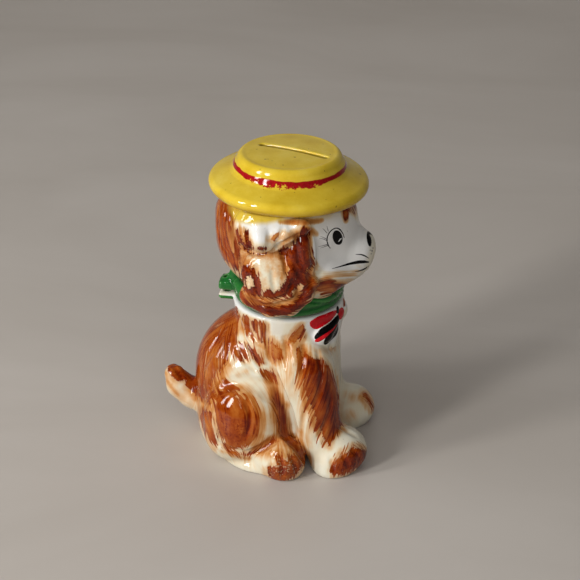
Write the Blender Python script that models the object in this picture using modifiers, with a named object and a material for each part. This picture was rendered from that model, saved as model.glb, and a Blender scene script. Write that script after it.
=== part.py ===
"""Figural dog coin bank with a lift-off head, in glazed slip-cast earthenware.

The dog sits facing +X with its right side towards -Y. The head, with its straw hat, drops into
the collar of the body on a short spigot; two lugs behind the neck, one above the other, take a
padlock. Coins go in through the slot in the hat, and fall through head and neck into the body.
Lengths are millimetres in the tables below, and mm() turns them into metres.
"""

import math

import bmesh
import bpy
from mathutils import Euler, Matrix, Vector

# ---- driving dimensions, in millimetres ---------------------------------------------------
SHIFT_X = 11.2          # neck axis ahead of the centre of the footprint box
SHIFT_Y = 0.0
RIM_Z = 83.5            # top of the body's collar, the seat of the head
RIM_R = 28.2            # outside of the collar
BORE_R = 24.4           # inside of the collar
SPIGOT_R = 23.2         # spigot under the head, 1.2 mm clear of the collar all round
THROAT_R = 19.2         # hole through the spigot, for the coins
SPIGOT_Z = 75.5
SEAM = 0.3              # glaze line between castings and the parts luted on to them
HAT_TILT = -1.5         # degrees, front edge up
HAT_C = (0.0, 0.0, 146.6)    # centre of the brim's edge
BRIM_R = 39.3
CROWN_R = 27.9
SLOT_L, SLOT_W = 36.4, 2.8
SLOT_SKEW = -17.6       # degrees off the dog's own axis
LUG_HOLE_R = 1.9        # padlock shackle hole
HOLE_X = -31.5          # its place behind the neck axis


def mm(*v):
    return Vector([(v[0] + SHIFT_X) * 0.001, (v[1] + SHIFT_Y) * 0.001, v[2] * 0.001])


# ---- scene and collections ----------------------------------------------------------------
for old in list(bpy.data.objects):
    bpy.data.objects.remove(old, do_unlink=True)

scene = bpy.context.scene
bank = bpy.data.collections.new("dog_coin_bank")
cutters = bpy.data.collections.new("cutters")
scene.collection.children.link(bank)
scene.collection.children.link(cutters)
cutters.hide_render = True


def material(name, rgb, roughness=0.12):
    m = bpy.data.materials.new(name)
    m.use_nodes = True
    b = m.node_tree.nodes["Principled BSDF"]
    b.inputs["Base Color"].default_value = (*rgb, 1.0)
    b.inputs["Roughness"].default_value = roughness
    b.inputs["Metallic"].default_value = 0.0
    b.inputs["Coat Weight"].default_value = 0.6
    m.diffuse_color = (*rgb, 1.0)
    return m


BROWN = (0.43, 0.17, 0.06)
CREAM = (0.80, 0.72, 0.58)
WHITE = (0.82, 0.80, 0.76)
GREEN = (0.05, 0.22, 0.08)
YELLOW = (0.70, 0.55, 0.10)
RED = (0.40, 0.01, 0.02)


def keep(obj, mat):
    """Makes obj one of the bank's pieces."""
    for c in list(obj.users_collection):
        c.objects.unlink(obj)
    bank.objects.link(obj)
    obj.hide_render = False
    obj.display_type = "SOLID"
    obj.data.materials.clear()
    obj.data.materials.append(mat)
    return obj


def new_object(name, bm):
    me = bpy.data.meshes.new(name)
    bm.to_mesh(me)
    bm.free()
    ob = bpy.data.objects.new(name, me)
    cutters.objects.link(ob)
    ob.display_type = "WIRE"
    ob.hide_render = True
    return ob


def bake(ob):
    """Replaces an object's mesh with what its modifiers make of it."""
    dg = bpy.context.evaluated_depsgraph_get()
    dg.update()
    me = bpy.data.meshes.new_from_object(ob.evaluated_get(dg), depsgraph=dg)
    ob.modifiers.clear()
    ob.data = me
    return ob


def blob(name, parts, voxel=1.6, smooth=6, triangles=1500, segments=28):
    """A soft form: overlapping ellipsoids fused to one skin, smoothed, and thinned out.

    parts holds (centre, radii, (rx, ry, rz) in degrees) in millimetres."""
    bm = bmesh.new()
    for centre, radii, turn in parts:
        m = Matrix.LocRotScale(
            mm(*centre),
            Euler([math.radians(a) for a in turn]),
            Vector(radii) * 0.001,
        )
        bmesh.ops.create_uvsphere(
            bm, u_segments=segments, v_segments=segments // 2, radius=1.0, matrix=m
        )
    ob = new_object(name, bm)
    r = ob.modifiers.new("fuse", "REMESH")
    r.mode = "VOXEL"
    r.voxel_size = voxel * 0.001
    s = ob.modifiers.new("soften", "SMOOTH")
    s.factor = 0.5
    s.iterations = smooth
    bake(ob)
    count = sum(len(p.vertices) - 2 for p in ob.data.polygons)
    if count > triangles:
        d = ob.modifiers.new("thin", "DECIMATE")
        d.ratio = triangles / count
        bake(ob)
    return ob


def grown(ob, name, by):
    """A copy of ob a little larger all round, to cut clearance with."""
    bm = bmesh.new()
    bm.from_mesh(ob.data)
    bmesh.ops.recalc_face_normals(bm, faces=bm.faces)
    bm.normal_update()
    moves = [(v, v.normal.copy()) for v in bm.verts]
    for v, n in moves:
        v.co += n * (by * 0.001)
    return new_object(name, bm)


def cut(ob, other, operation="DIFFERENCE"):
    b = ob.modifiers.new(operation.lower(), "BOOLEAN")
    b.operation = operation
    b.solver = "EXACT"
    b.object = other
    bake(ob)
    bm = bmesh.new()
    bm.from_mesh(ob.data)
    bmesh.ops.triangulate(bm, faces=bm.faces)
    bmesh.ops.remove_doubles(bm, verts=bm.verts, dist=0.00001)
    bmesh.ops.dissolve_degenerate(bm, edges=bm.edges, dist=0.00001)
    bm.to_mesh(ob.data)
    bm.free()
    return ob


def cylinder(name, r, z0, z1, x=0.0, y=0.0, segments=48, r_top=None):
    bm = bmesh.new()
    centre = mm(x, y, (z0 + z1) / 2)
    bmesh.ops.create_cone(
        bm,
        cap_ends=True,
        segments=segments,
        radius1=r * 0.001,
        radius2=(r if r_top is None else r_top) * 0.001,
        depth=(z1 - z0) * 0.001,
        matrix=Matrix.Translation(centre),
    )
    return new_object(name, bm)


def box(name, lo, hi):
    bm = bmesh.new()
    a, b = mm(*lo), mm(*hi)
    bmesh.ops.create_cube(
        bm, size=1.0, matrix=Matrix.LocRotScale((a + b) / 2, None, b - a)
    )
    return new_object(name, bm)


def turned(name, profile, x=0.0, y=0.0, segments=40):
    """A turned piece: profile is a closed loop of (radius, height), outside first, top to bottom."""
    bm = bmesh.new()
    vs = [bm.verts.new((r * 0.001, 0.0, z * 0.001)) for r, z in profile]
    for a, b in zip(vs, vs[1:] + vs[:1]):
        if a.co.x > 0.000001 or b.co.x > 0.000001:
            bm.edges.new((a, b))
    ob = new_object(name, bm)
    ob.location = mm(x, y, 0.0)
    s = ob.modifiers.new("turn", "SCREW")
    s.axis = "Z"
    s.angle = math.tau
    s.steps = segments
    s.render_steps = segments
    s.use_merge_vertices = True
    s.merge_threshold = 0.00001
    s.use_normal_calculate = True
    bpy.context.view_layer.update()
    bake(ob)
    bm = bmesh.new()
    bm.from_mesh(ob.data)
    bm.transform(ob.matrix_world)
    bmesh.ops.remove_doubles(bm, verts=bm.verts, dist=0.000005)
    bmesh.ops.recalc_face_normals(bm, faces=bm.faces)
    if bm.calc_volume(signed=True) < 0:
        bmesh.ops.reverse_faces(bm, faces=bm.faces)
    bm.to_mesh(ob.data)
    bm.free()
    ob.location = (0, 0, 0)
    bpy.context.view_layer.update()
    return ob


def arc(cx, cz, r, a0, a1, n):
    """Points on a circle of the profile plane, from angle a0 to a1 in degrees."""
    return [
        (
            cx + r * math.cos(math.radians(a0 + (a1 - a0) * i / n)),
            cz + r * math.sin(math.radians(a0 + (a1 - a0) * i / n)),
        )
        for i in range(n + 1)
    ]


def smooth_shade(ob, angle=40):
    ob.data.shade_smooth()
    ob.data.set_sharp_from_angle(angle=math.radians(angle))
    return ob


ground = box("ground_cut", (-120, -90, -60), (120, 90, 0))
ground_low = box("ground_low", (-120, -90, -60), (120, 90, 0.0))

# ---- the body casting ---------------------------------------------------------------------
TORSO = [
    ((-11.5, 0.0, 39.0), (38.0, 33.0, 37.0), (0, 0, 0)),      # trunk and back
    ((-14.0, 0.0, 13.0), (35.5, 32.5, 37.0), (0, 0, 0)),      # rump
    ((-18.0, -24.0, 23.5), (23.5, 18.5, 28.0), (0, 0, 0)),    # right haunch
    ((-18.0, 24.0, 23.5), (23.5, 18.5, 28.0), (0, 0, 0)),     # left haunch
    ((3.0, 0.0, 60.0), (23.5, 26.0, 30.0), (0, 0, 0)),        # chest
    ((8.0, 0.0, 24.0), (18.0, 24.0, 30.0), (0, 0, 0)),        # belly behind the forelegs
    ((10.0, -18.0, 52.0), (16.0, 15.0, 20.0), (0, 0, 0)),     # right shoulder
    ((10.0, 18.0, 52.0), (15.0, 15.0, 20.0), (0, 0, 0)),      # left shoulder
]
torso = blob("torso_form", TORSO, voxel=1.8, smooth=8, triangles=1500)
collar = turned(
    "collar_form",
    [(RIM_R - 1.4, RIM_Z), (RIM_R - 0.4, RIM_Z - 0.5), (RIM_R, RIM_Z - 1.6)]
    + [(RIM_R - 0.3, RIM_Z - 6), (RIM_R - 1.0, RIM_Z - 12), (RIM_R - 0.5, RIM_Z - 17), (RIM_R - 6, 52.0)]
    + [(0.0, 52.0), (0.0, RIM_Z)],
)
torso = cut(torso, box("torso_top", (-120, -90, RIM_Z - 9.0), (120, 90, 150.0)))
torso_skin = cut(torso, collar, "UNION")
torso_skin = cut(torso_skin, ground)
torso_clear = grown(torso_skin, "torso_clear", SEAM)

cavity = blob(
    "body_cavity",
    [
        ((-12.5, 0.0, 37.0), (32.5, 27.5, 31.0), (0, 0, 0)),
        ((-14.0, 0.0, 24.5), (29.0, 26.5, 19.0), (0, 0, 0)),
        ((-17.5, -20.0, 25.5), (17.5, 15.5, 19.5), (0, 0, 0)),
        ((-17.5, 20.0, 25.5), (17.5, 15.5, 19.5), (0, 0, 0)),
        ((2.0, 0.0, 56.0), (19.0, 20.5, 24.0), (0, 0, 0)),
        ((6.0, 0.0, 26.0), (13.0, 17.0, 20.0), (0, 0, 0)),
    ],
    voxel=2.4,
    smooth=4,
    triangles=420,
)
bore = turned(
    "collar_bore",
    [
        (BORE_R + 0.9, RIM_Z + 2.0),
        (BORE_R + 0.9, RIM_Z - 0.02),
        (BORE_R, RIM_Z - 1.2),
        (BORE_R, 73.0),
        (BORE_R - 2.5, 66.0),
        (BORE_R - 6.0, 60.0),
        (0.0, 60.0),
        (0.0, RIM_Z + 2.0),
    ],
)
foot_recess = cylinder("foot_recess", 27.0, -3.0, 1.6, x=-15.0, segments=40, r_top=25.6)
body_shell = cut(torso_skin, cavity)
body_shell = cut(body_shell, bore)
body_shell = cut(body_shell, foot_recess)
body_shell.name = "body_shell"
keep(smooth_shade(body_shell), material("glaze_body", CREAM))

# forelegs, with their paws, are cast apart and luted to the chest
legs = {}
for side, s, dx in (("right", -1, 0.0), ("left", 1, -5.0)):
    leg = blob(
        f"{side}_leg_form",
        [
            ((12.0 + dx, s * 23.0, 50.0), (15.5, 13.0, 20.0), (0, 8, 0)),
            ((17.0 + dx, s * 24.0, 32.0), (13.5, 12.5, 19.0), (0, 6, 0)),
            ((20.0 + dx, s * 23.5, 16.0), (12.5, 12.0, 15.0), (0, 0, 0)),
            ((31.0 + 0.3 * dx, s * 24.0, 8.5), (14.0, 14.6, 12.6), (0, 0, 0)),
            ((27.0 + 0.3 * dx, s * 25.0, 3.0), (12.0, 15.0, 9.0), (0, 0, 0)),
        ],
        voxel=1.3,
        smooth=6,
        triangles=400,
    )
    cut(leg, torso_clear)
    cut(leg, ground_low)
    leg.name = f"{side}_foreleg"
    legs[side] = leg
    keep(smooth_shade(leg), material(f"glaze_{side}_foreleg", CREAM))

# hind feet stick out from under the haunches, turned outwards
for side, s in (("right", -1), ("left", 1)):
    foot = blob(
        f"{side}_foot_form",
        [
            ((0.0, s * 35.0, 7.0), (15.0, 10.5, 12.0), (0, 0, s * 20)),
            ((3.0, s * 37.0, 8.0), (10.5, 10.5, 13.0), (0, 0, s * 20)),
            ((-17.0, s * 29.0, 2.0), (14.0, 9.0, 9.0), (0, 0, s * 24)),
        ],
        voxel=1.2,
        smooth=5,
        triangles=280,
    )
    cut(foot, torso_clear)
    cut(foot, grown(legs[side], f"{side}_leg_clear", SEAM))
    cut(foot, ground_low)
    foot.name = f"{side}_hind_foot"
    keep(smooth_shade(foot), material(f"glaze_{side}_hind_foot", CREAM))

tail = blob(
    "tail_form",
    [
        ((-53.0, 0.0, 22.0), (8.5, 7.5, 9.0), (0, 0, 0)),
        ((-57.5, 0.0, 25.5), (7.5, 7.0, 8.5), (0, -25, 0)),
        ((-60.5, 0.0, 29.5), (6.2, 6.0, 7.6), (0, -30, 0)),
        ((-47.0, 0.0, 20.0), (9.0, 8.0, 9.5), (0, 0, 0)),
    ],
    voxel=1.0,
    smooth=4,
    triangles=220,
)
cut(tail, torso_clear)
tail.name = "tail"
keep(smooth_shade(tail), material("glaze_tail", BROWN))

# bow on the chest: knot, two loops and two ribbon ends
BOW = [((26.9, 0.0, 77.4), (3.2, 4.4, 4.8), (0, 0, 0))]
for s in (-1, 1):
    BOW += [
        ((24.2, s * 9.0, 75.0), (3.8, 7.5, 4.6), (s * 14, 0, s * 22)),
        ((18.9, s * 17.6, 72.4), (4.6, 7.8, 6.2), (s * 16, 0, s * 42)),
        ((22.6, s * 11.0, 68.8), (4.2, 8.2, 5.6), (s * 40, 0, s * 26)),
        ((18.8, s * 15.6, 66.6), (4.8, 7.6, 5.4), (s * 30, 0, s * 40)),
    ]
bow = blob("bow_form", BOW, voxel=1.0, smooth=4, triangles=420)
cut(bow, torso_clear)
for side in legs:
    cut(bow, grown(legs[side], f"{side}_leg_room", SEAM))
cut(bow, box("bow_top_cut", (-60, -60, RIM_Z - 0.4), (60, 60, RIM_Z + 40)))
bow.name = "chest_bow"
keep(smooth_shade(bow), material("enamel_bow", RED))


# lugs behind the neck, one on each casting, whose holes line up for a padlock
neck_column = cylinder("neck_column", RIM_R + SEAM + 0.2, 60.0, 110.0, segments=56)


def lug(name, x0, x1, half_w, z0, z1, bevel, minus, mat):
    bm = bmesh.new()
    a, b = mm(x0, -half_w, z0), mm(x1, half_w, z1)
    bmesh.ops.create_cube(
        bm, size=1.0, matrix=Matrix.LocRotScale((a + b) / 2, None, b - a)
    )
    ob = new_object(name + "_form", bm)
    v = ob.modifiers.new("round", "BEVEL")
    v.width = bevel * 0.001
    v.segments = 3
    bake(ob)
    for m in minus:
        cut(ob, m)
    cut(ob, cylinder(name + "_hole", LUG_HOLE_R, z0 - 3, z1 + 3, x=HOLE_X, segments=24))
    ob.name = name
    keep(smooth_shade(ob), mat)
    return ob


body_lug = lug(
    "body_hasp_lug", -35.6, -20.0, 5.4, RIM_Z - 2.8, RIM_Z + 0.5, 1.0,
    [torso_clear, neck_column], material("glaze_body_lug", GREEN),
)

# ---- the head casting ---------------------------------------------------------------------
SKULL = [
    ((-2.0, 0.0, 117.5), (34.8, 31.0, 30.5), (0, 0, 0)),      # skull
    ((-1.0, 0.0, 131.0), (34.5, 30.5, 19.0), (0, 0, 0)),      # crown of hair under the hat
    ((24.5, 0.0, 107.0), (17.5, 17.0, 14.0), (0, 0, 0)),      # muzzle
    ((30.5, 0.0, 110.8), (13.6, 13.0, 11.4), (0, 0, 0)),      # nose end
    ((16.0, -14.0, 105.0), (15.0, 13.5, 13.5), (0, 0, 0)),    # right cheek
    ((16.0, 14.0, 105.0), (15.0, 13.5, 13.5), (0, 0, 0)),     # left cheek
    ((24.0, 0.0, 119.0), (11.5, 16.0, 9.0), (0, 0, 0)),       # bridge of the nose
]
skull = blob("skull_form", SKULL, voxel=1.6, smooth=6, triangles=1300)
neck = cylinder("neck_form", SPIGOT_R, SPIGOT_Z, 104.0, segments=40)
skull = cut(skull, neck, "UNION")

# the hat, turned, then tipped forward
crown_z = 15.0
HAT = (
    [(0.0, crown_z + 0.6), (9.0, crown_z + 0.4), (17.0, crown_z + 0.1), (21.4, crown_z - 0.2)]
    + arc(22.2, crown_z - 3.6, 3.6, 76, 12, 3)
    + [(CROWN_R - 0.9, 10.4), (CROWN_R - 0.4, 9.0), (CROWN_R, 7.6)]
    + [(CROWN_R + 1.3, 6.5), (CROWN_R + 4.1, 5.4), (34.6, 4.3)]
    + arc(BRIM_R - 3.6, 0.0, 3.6, 66, -90, 7)
    + [(31.0, -4.4), (27.0, -4.8), (22.6, -4.8)]
    + [(22.4, 8.0), (20.6, 10.6), (0.0, 11.4)]
)
hat = turned("hat_form", HAT, segments=48)
hat_pose = (
    Matrix.Translation(mm(*HAT_C))
    @ Matrix.Rotation(math.radians(-HAT_TILT), 4, "Y")
    @ Matrix.Translation(-mm(0, 0, 0))
)
hat.data.transform(hat_pose)
slot = box("slot_form", (-SLOT_L / 2, -SLOT_W / 2, 6.0), (SLOT_L / 2, SLOT_W / 2, 24.0))
slot_turn = (
    Matrix.Translation(mm(1.7, 0.6, 0))
    @ Matrix.Rotation(math.radians(SLOT_SKEW), 4, "Z")
    @ Matrix.Translation(-mm(0, 0, 0))
)
slot.data.transform(hat_pose @ slot_turn)

# room for the hat on top of the head: its outline filled in, a glaze line clear of it
HAT_ROOM = [(BRIM_R + 6, 30.0), (BRIM_R + 6, -5.1), (0.0, -5.1), (0.0, 30.0)]
hat_room = turned("hat_room", HAT_ROOM, segments=40)
hat_room.data.transform(hat_pose)
skull = cut(skull, hat_room)
skull_clear = grown(skull, "skull_clear", SEAM)

head_cavity = blob(
    "head_cavity",
    [
        ((-2.2, 0.0, 118.0), (29.0, 26.0, 27.5), (0, 0, 0)),
        ((-3.0, 0.0, 132.0), (25.0, 24.5, 18.0), (0, 0, 0)),
        ((21.0, 0.0, 107.5), (14.0, 11.5, 9.5), (0, 0, 0)),
    ],
    voxel=2.2,
    smooth=4,
    triangles=360,
)
throat = cylinder("throat", THROAT_R, 60.0, 104.0, segments=36)
head_cavity = cut(head_cavity, throat, "UNION")
head_top = cylinder("head_top_hole", 22.6, 128.0, 160.0, segments=36, x=-0.8)
head_cavity = cut(head_cavity, head_top, "UNION")
head_shell = cut(skull, head_cavity)
head_shell.name = "head_shell"
keep(smooth_shade(head_shell), material("glaze_head", WHITE))

hat = cut(hat, slot)
hat.name = "hat"
keep(smooth_shade(hat, 35), material("glaze_hat", YELLOW))
hat_clear_form = turned(
    "hat_clear",
    [(BRIM_R + 3, 30.0), (BRIM_R + 3, -3.0), (BRIM_R - 3.4, -4.2), (30.0, -5.0), (0.0, -5.0), (0.0, 30.0)],
)
hat_clear_form.data.transform(hat_pose)

# neckerchief: a rolled scarf round the neck, resting on the collar
neckerchief = turned(
    "neckerchief_form",
    [(24.6, 94.6), (26.6, 93.6), (28.0, 91.6), (28.3, 89.8), (27.9, 88.6), (28.4, 87.4), (28.2, 85.4), (27.0, 83.8)]
    + [(SPIGOT_R + 0.3, 83.8), (SPIGOT_R + 0.3, 94.6)],
    segments=40,
)
kerchief_clear = grown(neckerchief, "kerchief_clear", SEAM)
cut(neckerchief, skull_clear)
neckerchief.name = "neckerchief"
keep(smooth_shade(neckerchief), material("glaze_neckerchief", GREEN))

# ears: long spaniel ears in three overlapping tiers
for side, s in (("right", -1), ("left", 1)):
    ear = blob(
        f"{side}_ear_form",
        [
            ((-7.0, s * 30.5, 130.0), (14.5, 7.0, 9.5), (0, 0, 0)),
            ((-4.5, s * 31.0, 112.5), (15.5, 7.0, 15.5), (0, 0, 0)),
            ((7.5, s * 29.5, 116.0), (9.0, 6.6, 21.0), (0, -6, s * -14)),
            ((-1.5, s * 28.2, 97.5), (18.0, 7.4, 10.0), (s * -14, -8, 0)),
        ],
        voxel=1.2,
        smooth=5,
        triangles=420,
    )
    cut(ear, skull_clear)
    cut(ear, kerchief_clear)
    cut(ear, hat_clear_form)
    ear.name = f"{side}_ear"
    keep(smooth_shade(ear), material(f"glaze_{side}_ear", BROWN))

head_lug = lug(
    "head_hasp_lug", -35.6, -20.0, 5.6, RIM_Z + 2.3, RIM_Z + 7.4, 1.5,
    [skull_clear, neck_column], material("glaze_head_lug", GREEN),
)
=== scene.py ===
"""The looks of the dog coin bank: two glazed castings, the hat, and the enamel painted over the glaze.

Forms are distance fields in millimetres around the neck axis (x towards the nose, y towards the
left side, z up), meshed and then placed in the frame. The coat is brushed on in a paint plan: an
oblique elevation of the right side, 2 units to the millimetre, mirrored for the left side.
"""
import math

import bmesh
import bpy
import numpy as np
import openvdb as vdb
from mathutils import Euler, Matrix, Vector
from mathutils.bvhtree import BVHTree


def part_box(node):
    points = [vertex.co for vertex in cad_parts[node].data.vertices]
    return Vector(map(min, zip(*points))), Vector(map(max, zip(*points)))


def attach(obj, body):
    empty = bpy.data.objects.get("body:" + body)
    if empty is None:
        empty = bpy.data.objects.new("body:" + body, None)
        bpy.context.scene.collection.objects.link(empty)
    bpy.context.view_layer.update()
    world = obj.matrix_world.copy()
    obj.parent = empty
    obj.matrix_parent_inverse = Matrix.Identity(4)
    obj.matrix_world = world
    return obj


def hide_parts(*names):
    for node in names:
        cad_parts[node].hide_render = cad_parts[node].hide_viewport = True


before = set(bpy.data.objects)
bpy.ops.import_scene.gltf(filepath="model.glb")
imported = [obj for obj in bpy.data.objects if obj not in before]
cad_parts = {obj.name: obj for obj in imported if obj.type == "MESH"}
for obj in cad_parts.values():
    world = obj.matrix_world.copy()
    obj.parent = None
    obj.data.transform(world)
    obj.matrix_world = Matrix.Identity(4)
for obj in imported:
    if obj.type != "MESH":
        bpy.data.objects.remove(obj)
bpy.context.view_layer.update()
klo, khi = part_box("neckerchief")
NECK_X = (klo.x + khi.x) / 2 * 1000.0     # the neck axis in the frame, in millimetres
RIM_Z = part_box("body_shell")[1].z * 1000.0
F32 = np.float32


# ---- distance fields -----------------------------------------------------------------------
def smin(a, b, k):
    h = np.clip(0.5 + 0.5 * (b - a) / k, 0, 1)
    return b + (a - b) * h - k * h * (1 - h)


def smax(a, b, k):
    return -smin(-a, -b, k)


def ell(c, r, rot=(0, 0, 0)):
    """An ellipsoid at c with radii r, turned by rot degrees. Returns (function, box)."""
    m = np.array(Euler([math.radians(a) for a in rot]).to_matrix(), dtype=F32)
    turned = any(rot)

    def f(x, y, z):
        x, y, z = x - F32(c[0]), y - F32(c[1]), z - F32(c[2])
        if turned:
            x, y, z = (
                m[0, 0] * x + m[1, 0] * y + m[2, 0] * z,
                m[0, 1] * x + m[1, 1] * y + m[2, 1] * z,
                m[0, 2] * x + m[1, 2] * y + m[2, 2] * z,
            )
        k0 = np.sqrt((x / F32(r[0])) ** 2 + (y / F32(r[1])) ** 2 + (z / F32(r[2])) ** 2)
        k1 = np.sqrt((x / F32(r[0] ** 2)) ** 2 + (y / F32(r[1] ** 2)) ** 2 + (z / F32(r[2] ** 2)) ** 2)
        return k0 * (k0 - 1) / np.maximum(k1, 1e-6)

    if turned:
        e = np.sqrt(((m * np.array(r, F32)[None, :]) ** 2).sum(1))
    else:
        e = np.array(r)
    return f, (np.array(c) - e, np.array(c) + e)


def cap(a, b, ra, rb):
    """A capsule from a to b whose radius runs from ra to rb."""
    a, b = np.array(a, F32), np.array(b, F32)
    ba = b - a
    bb = float(ba @ ba)

    def f(x, y, z):
        px, py, pz = x - a[0], y - a[1], z - a[2]
        t = np.clip((px * ba[0] + py * ba[1] + pz * ba[2]) / bb, 0, 1)
        return np.sqrt((px - t * ba[0]) ** 2 + (py - t * ba[1]) ** 2 + (pz - t * ba[2]) ** 2) - (ra + (rb - ra) * t)

    m = max(ra, rb)
    return f, (np.minimum(a, b) - m, np.maximum(a, b) + m)


def ring(R, z0, rr, squash=1.0):
    def f(x, y, z):
        return np.sqrt((np.sqrt(x * x + y * y) - R) ** 2 + ((z - z0) * squash) ** 2) - rr

    return f, (np.array([-R - rr, -R - rr, z0 - rr / squash]), np.array([R + rr, R + rr, z0 + rr / squash]))


def drum(R, z0, z1, soft=0.8):
    """A round drum on the neck axis with softened edges."""

    def f(x, y, z):
        return smax(np.sqrt(x * x + y * y) - R, np.abs(z - (z0 + z1) / 2) - (z1 - z0) / 2, soft)

    return f, (np.array([-R, -R, z0]), np.array([R, R, z1]))


def slab(lo, hi, r):
    lo, hi = np.array(lo, F32), np.array(hi, F32)
    c, hs = (lo + hi) / 2, (hi - lo) / 2 - r

    def f(x, y, z):
        qx, qy, qz = np.abs(x - c[0]) - hs[0], np.abs(y - c[1]) - hs[1], np.abs(z - c[2]) - hs[2]
        out = np.sqrt(np.maximum(qx, 0) ** 2 + np.maximum(qy, 0) ** 2 + np.maximum(qz, 0) ** 2)
        return out + np.minimum(np.maximum(qx, np.maximum(qy, qz)), 0) - F32(r)

    return f, (lo, hi)


class Field:
    def __init__(self, lo, hi, h):
        self.lo, self.h = np.array(lo, float), h
        self.n = [int(math.ceil((b - a) / h)) + 1 for a, b in zip(lo, hi)]
        self.d = np.full(self.n, 20.0, F32)

    def part(self, box, margin):
        s = []
        for i in range(3):
            a = int(max(0, math.floor((box[0][i] - margin - self.lo[i]) / self.h)))
            b = int(min(self.n[i], math.ceil((box[1][i] + margin - self.lo[i]) / self.h) + 1))
            s.append(slice(a, max(a, b)))
        ax = []
        for i in range(3):
            shape = [1, 1, 1]
            shape[i] = -1
            ax.append((self.lo[i] + self.h * np.arange(s[i].start, s[i].stop)).astype(F32).reshape(shape))
        return tuple(s), ax

    def add(self, shape, k):
        f, box = shape
        s, ax = self.part(box, k + 3.0)
        self.d[s] = smin(self.d[s], f(*ax), F32(k))

    def cut(self, shape, k):
        f, box = shape
        s, ax = self.part(box, k + 3.0)
        self.d[s] = smax(self.d[s], -f(*ax), F32(k))

    def keep(self, f, k):
        s, ax = self.part((self.lo, self.lo + self.h * np.array(self.n)), 0)
        self.d[s] = smax(self.d[s], f(*ax), F32(k))

    def mesh(self, soften=1):
        g = vdb.FloatGrid(20.0)
        g.copyFromArray(self.d)
        p, q = g.convertToQuads(0.0)
        p = p.astype(float) * self.h + self.lo
        tri = p[q]
        vol = sum(np.einsum("ij,ij->i", tri[:, 0], np.cross(tri[:, a], tri[:, b])).sum() for a, b in ((1, 2), (2, 3)))
        if vol < 0:
            q = q[:, ::-1]
        return p, q


def union(shapes, x, y, z):
    """The union of [(shape, k), ...] at points."""
    d = np.full(np.broadcast(x, y, z).shape, 20.0, F32)
    for (f, _), k in shapes:
        d = smin(d, f(x, y, z).astype(F32), F32(k))
    return d


# ---- noise ---------------------------------------------------------------------------------
def lattice(ix, iy, seed):
    n = (ix.astype(np.int64) * 374761393 + iy.astype(np.int64) * 668265263 + seed * 974634777) & 0xFFFFFFFF
    n = ((n ^ (n >> 13)) * 1274126177) & 0xFFFFFFFF
    n = ((n ^ (n >> 16)) * 2246822519) & 0xFFFFFFFF
    return ((n ^ (n >> 15)) & 0xFFFF).astype(float) / 65535.0


def noise(x, y, seed=0):
    ix, iy = np.floor(x), np.floor(y)
    fx, fy = x - ix, y - iy
    sx, sy = fx * fx * (3 - 2 * fx), fy * fy * (3 - 2 * fy)
    a, b = lattice(ix, iy, seed), lattice(ix + 1, iy, seed)
    c, d = lattice(ix, iy + 1, seed), lattice(ix + 1, iy + 1, seed)
    return (a * (1 - sx) + b * sx) * (1 - sy) + (c * (1 - sx) + d * sx) * sy


# ---- the paint plan ------------------------------------------------------------------------
TURN, TIP, REACH = math.radians(9.0), math.radians(27.5), 750.0
AIM = np.array([0.5, 0.0, 86.0])
PLAN_C = np.array([290.0, 290.0])
SCALE = REACH / 0.506
P_BACK = np.array([math.sin(TURN) * math.cos(TIP), -math.cos(TURN) * math.cos(TIP), math.sin(TIP)])
P_RIGHT = np.array([math.cos(TURN), math.sin(TURN), 0.0])
P_UP = np.cross(P_BACK, P_RIGHT)
P_EYE = AIM + P_BACK * REACH


def to_plan(p):
    """Points in millimetres to places on the plan; the left side uses the right side's place."""
    q = p.copy()
    q[:, 1] = -np.abs(q[:, 1])
    v = q - P_EYE
    z = -(v @ P_BACK)
    return PLAN_C[0] + SCALE * (v @ P_RIGHT) / z, PLAN_C[1] - SCALE * (v @ P_UP) / z


def plan_ray(u, v):
    d = P_RIGHT * (u - PLAN_C[0]) / SCALE - P_UP * (v - PLAN_C[1]) / SCALE - P_BACK
    return P_EYE, d / np.linalg.norm(d)


U0, V0, STEP = 150.0, 120.0, 0.5
UU, VV = np.meshgrid(np.arange(U0, 400.1, STEP), np.arange(V0, 492.1, STEP))


def along(points):
    """Distance on the plan to a stroke given as (u, v, radius) points, less its radius."""
    best = np.full(UU.shape, 1e3)
    if len(points) == 1:
        u, v, r = points[0]
        return np.hypot(UU - u, VV - v) - r
    for (u0, v0, r0), (u1, v1, r1) in zip(points, points[1:]):
        du, dv = u1 - u0, v1 - v0
        t = np.clip(((UU - u0) * du + (VV - v0) * dv) / (du * du + dv * dv + 1e-9), 0, 1)
        best = np.minimum(best, np.hypot(UU - u0 - t * du, VV - v0 - t * dv) - (r0 + (r1 - r0) * t))
    return best


def brush(layer, value, points, soft=2.5, strength=1.0):
    """Lays value over a layer along a stroke, fading over soft."""
    a = np.clip(0.5 - along(points) / (2 * soft), 0, 1) * strength
    layer += (value - layer) * a


def sample(layer, u, v):
    x = np.clip((u - U0) / STEP, 0, layer.shape[1] - 1.001)
    y = np.clip((v - V0) / STEP, 0, layer.shape[0] - 1.001)
    ix, iy = x.astype(int), y.astype(int)
    fx, fy = x - ix, y - iy
    return (layer[iy, ix] * (1 - fx) + layer[iy, ix + 1] * fx) * (1 - fy) + (
        layer[iy + 1, ix] * (1 - fx) + layer[iy + 1, ix + 1] * fx
    ) * fy


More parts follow.
